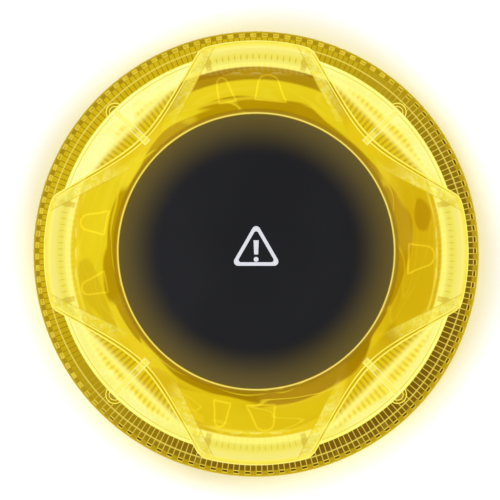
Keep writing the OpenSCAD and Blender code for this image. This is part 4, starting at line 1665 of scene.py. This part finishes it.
@dataclass
class Studio:
    """Pale floor, soft light and camera."""

    distance: float = 0.5
    rim_z: float = 0.013
    hole_r: float = 46.0
    tilt: float = 1.09
    focal: float = 160.4
    shift: tuple[float, float] = (-0.0123, 0.0073)
    boxes: tuple[tuple[str, float, float], ...] = (
        ("key", 135, 4.0), ("right", 20, 3.3), ("left", 215, 3.0), ("front", 290, 3.3),
    )
    box_size: float = 0.45
    box_reach: float = 0.62
    room_tint: Colour = (0.9, 0.93, 1.0)
    room_light: float = 0.55
    # radii between which the painted amber light on the floor fades out
    spill: tuple[float, float] = (47.5, 59.5)
    floor_r: tuple[float, ...] = (60.0, 120.0, 400.0, 2400.0)

    def build_camera(self) -> None:
        """Camera above the beacon, tilted a little towards the front."""
        data = bpy.data.cameras.new("camera")
        data.lens = self.focal
        data.sensor_width = 36.0
        data.shift_x, data.shift_y = self.shift
        data.clip_start = 0.01
        camera = bpy.data.objects.new("camera", data)
        tilt = math.radians(self.tilt)
        camera.location = (0, -self.distance * math.sin(tilt), self.rim_z + self.distance * math.cos(tilt))
        camera.rotation_euler = (tilt, 0, 0)
        bpy.context.collection.objects.link(camera)
        bpy.context.scene.camera = camera

    def build_floor(self) -> None:
        """A wide pale floor, open under the pad and clear from below, with a little painted amber light on
        it.
        """
        g = Graph("pale_floor")
        fleck = g.noise(60, 2.0)
        plain = g.blend(tone(242, 242, 242), tone(246, 246, 246), fleck)
        # painted amber light from the lens, fading outwards
        spill = 1 - g.radius().ramp_up(*self.spill)
        tinted = g.blend(plain, tone(248, 237, 164), spill * 0.8)
        paint = g.node("ShaderNodeBsdfDiffuse", None, {"Color": tinted, "Roughness": 0.7})
        clear = g.node("ShaderNodeBsdfTransparent")
        below = g.node("ShaderNodeNewGeometry", None, None, "Backfacing")
        surface = g.node("ShaderNodeMixShader", None, {0: below, 1: paint, 2: clear})
        g.tree.links.new(surface, g.output.inputs["Surface"])
        sheet = Sheet()
        radii = (self.hole_r, *self.floor_r)
        turns = steps(0, 360, 96)[:-1]
        rows = [[polar(radius, angle) for angle in turns] for radius in radii]
        sheet.add_rows(rows, loop=False, closed=True)
        sheet.build("floor", [g.material])

    def build_light(self) -> None:
        """Four soft boxes round the beacon and a pale room."""
        world = bpy.data.worlds.new("room")
        world.use_nodes = True
        air = world.node_tree.nodes["Background"].inputs
        air["Color"].default_value = (*self.room_tint, 1.0)
        air["Strength"].default_value = self.room_light
        bpy.context.scene.world = world
        for name, degrees, power in self.boxes:
            data = bpy.data.lights.new(name, "AREA")
            data.energy = power
            data.size = self.box_size
            lamp = bpy.data.objects.new(name, data)
            lamp.location = polar(self.box_reach, degrees, self.box_reach)
            lamp.rotation_euler = (-lamp.location).to_track_quat("-Z", "Y").to_euler()
            bpy.context.collection.objects.link(lamp)
        view = bpy.context.scene.view_settings
        view.view_transform = "Standard"
        view.look = "None"


def main() -> None:
    """Builds the camera, the beacon and the studio in order."""
    logging.basicConfig(level=logging.INFO, format="%(name)s %(message)s")
    studio = Studio()
    studio.build_camera()
    LensCover().build()
    LightEngine().build()
    Cap().build()
    base = Base()
    base.build()
    base.build_core()
    studio.build_floor()
    studio.build_light()


if __name__ == "__main__":
    main()
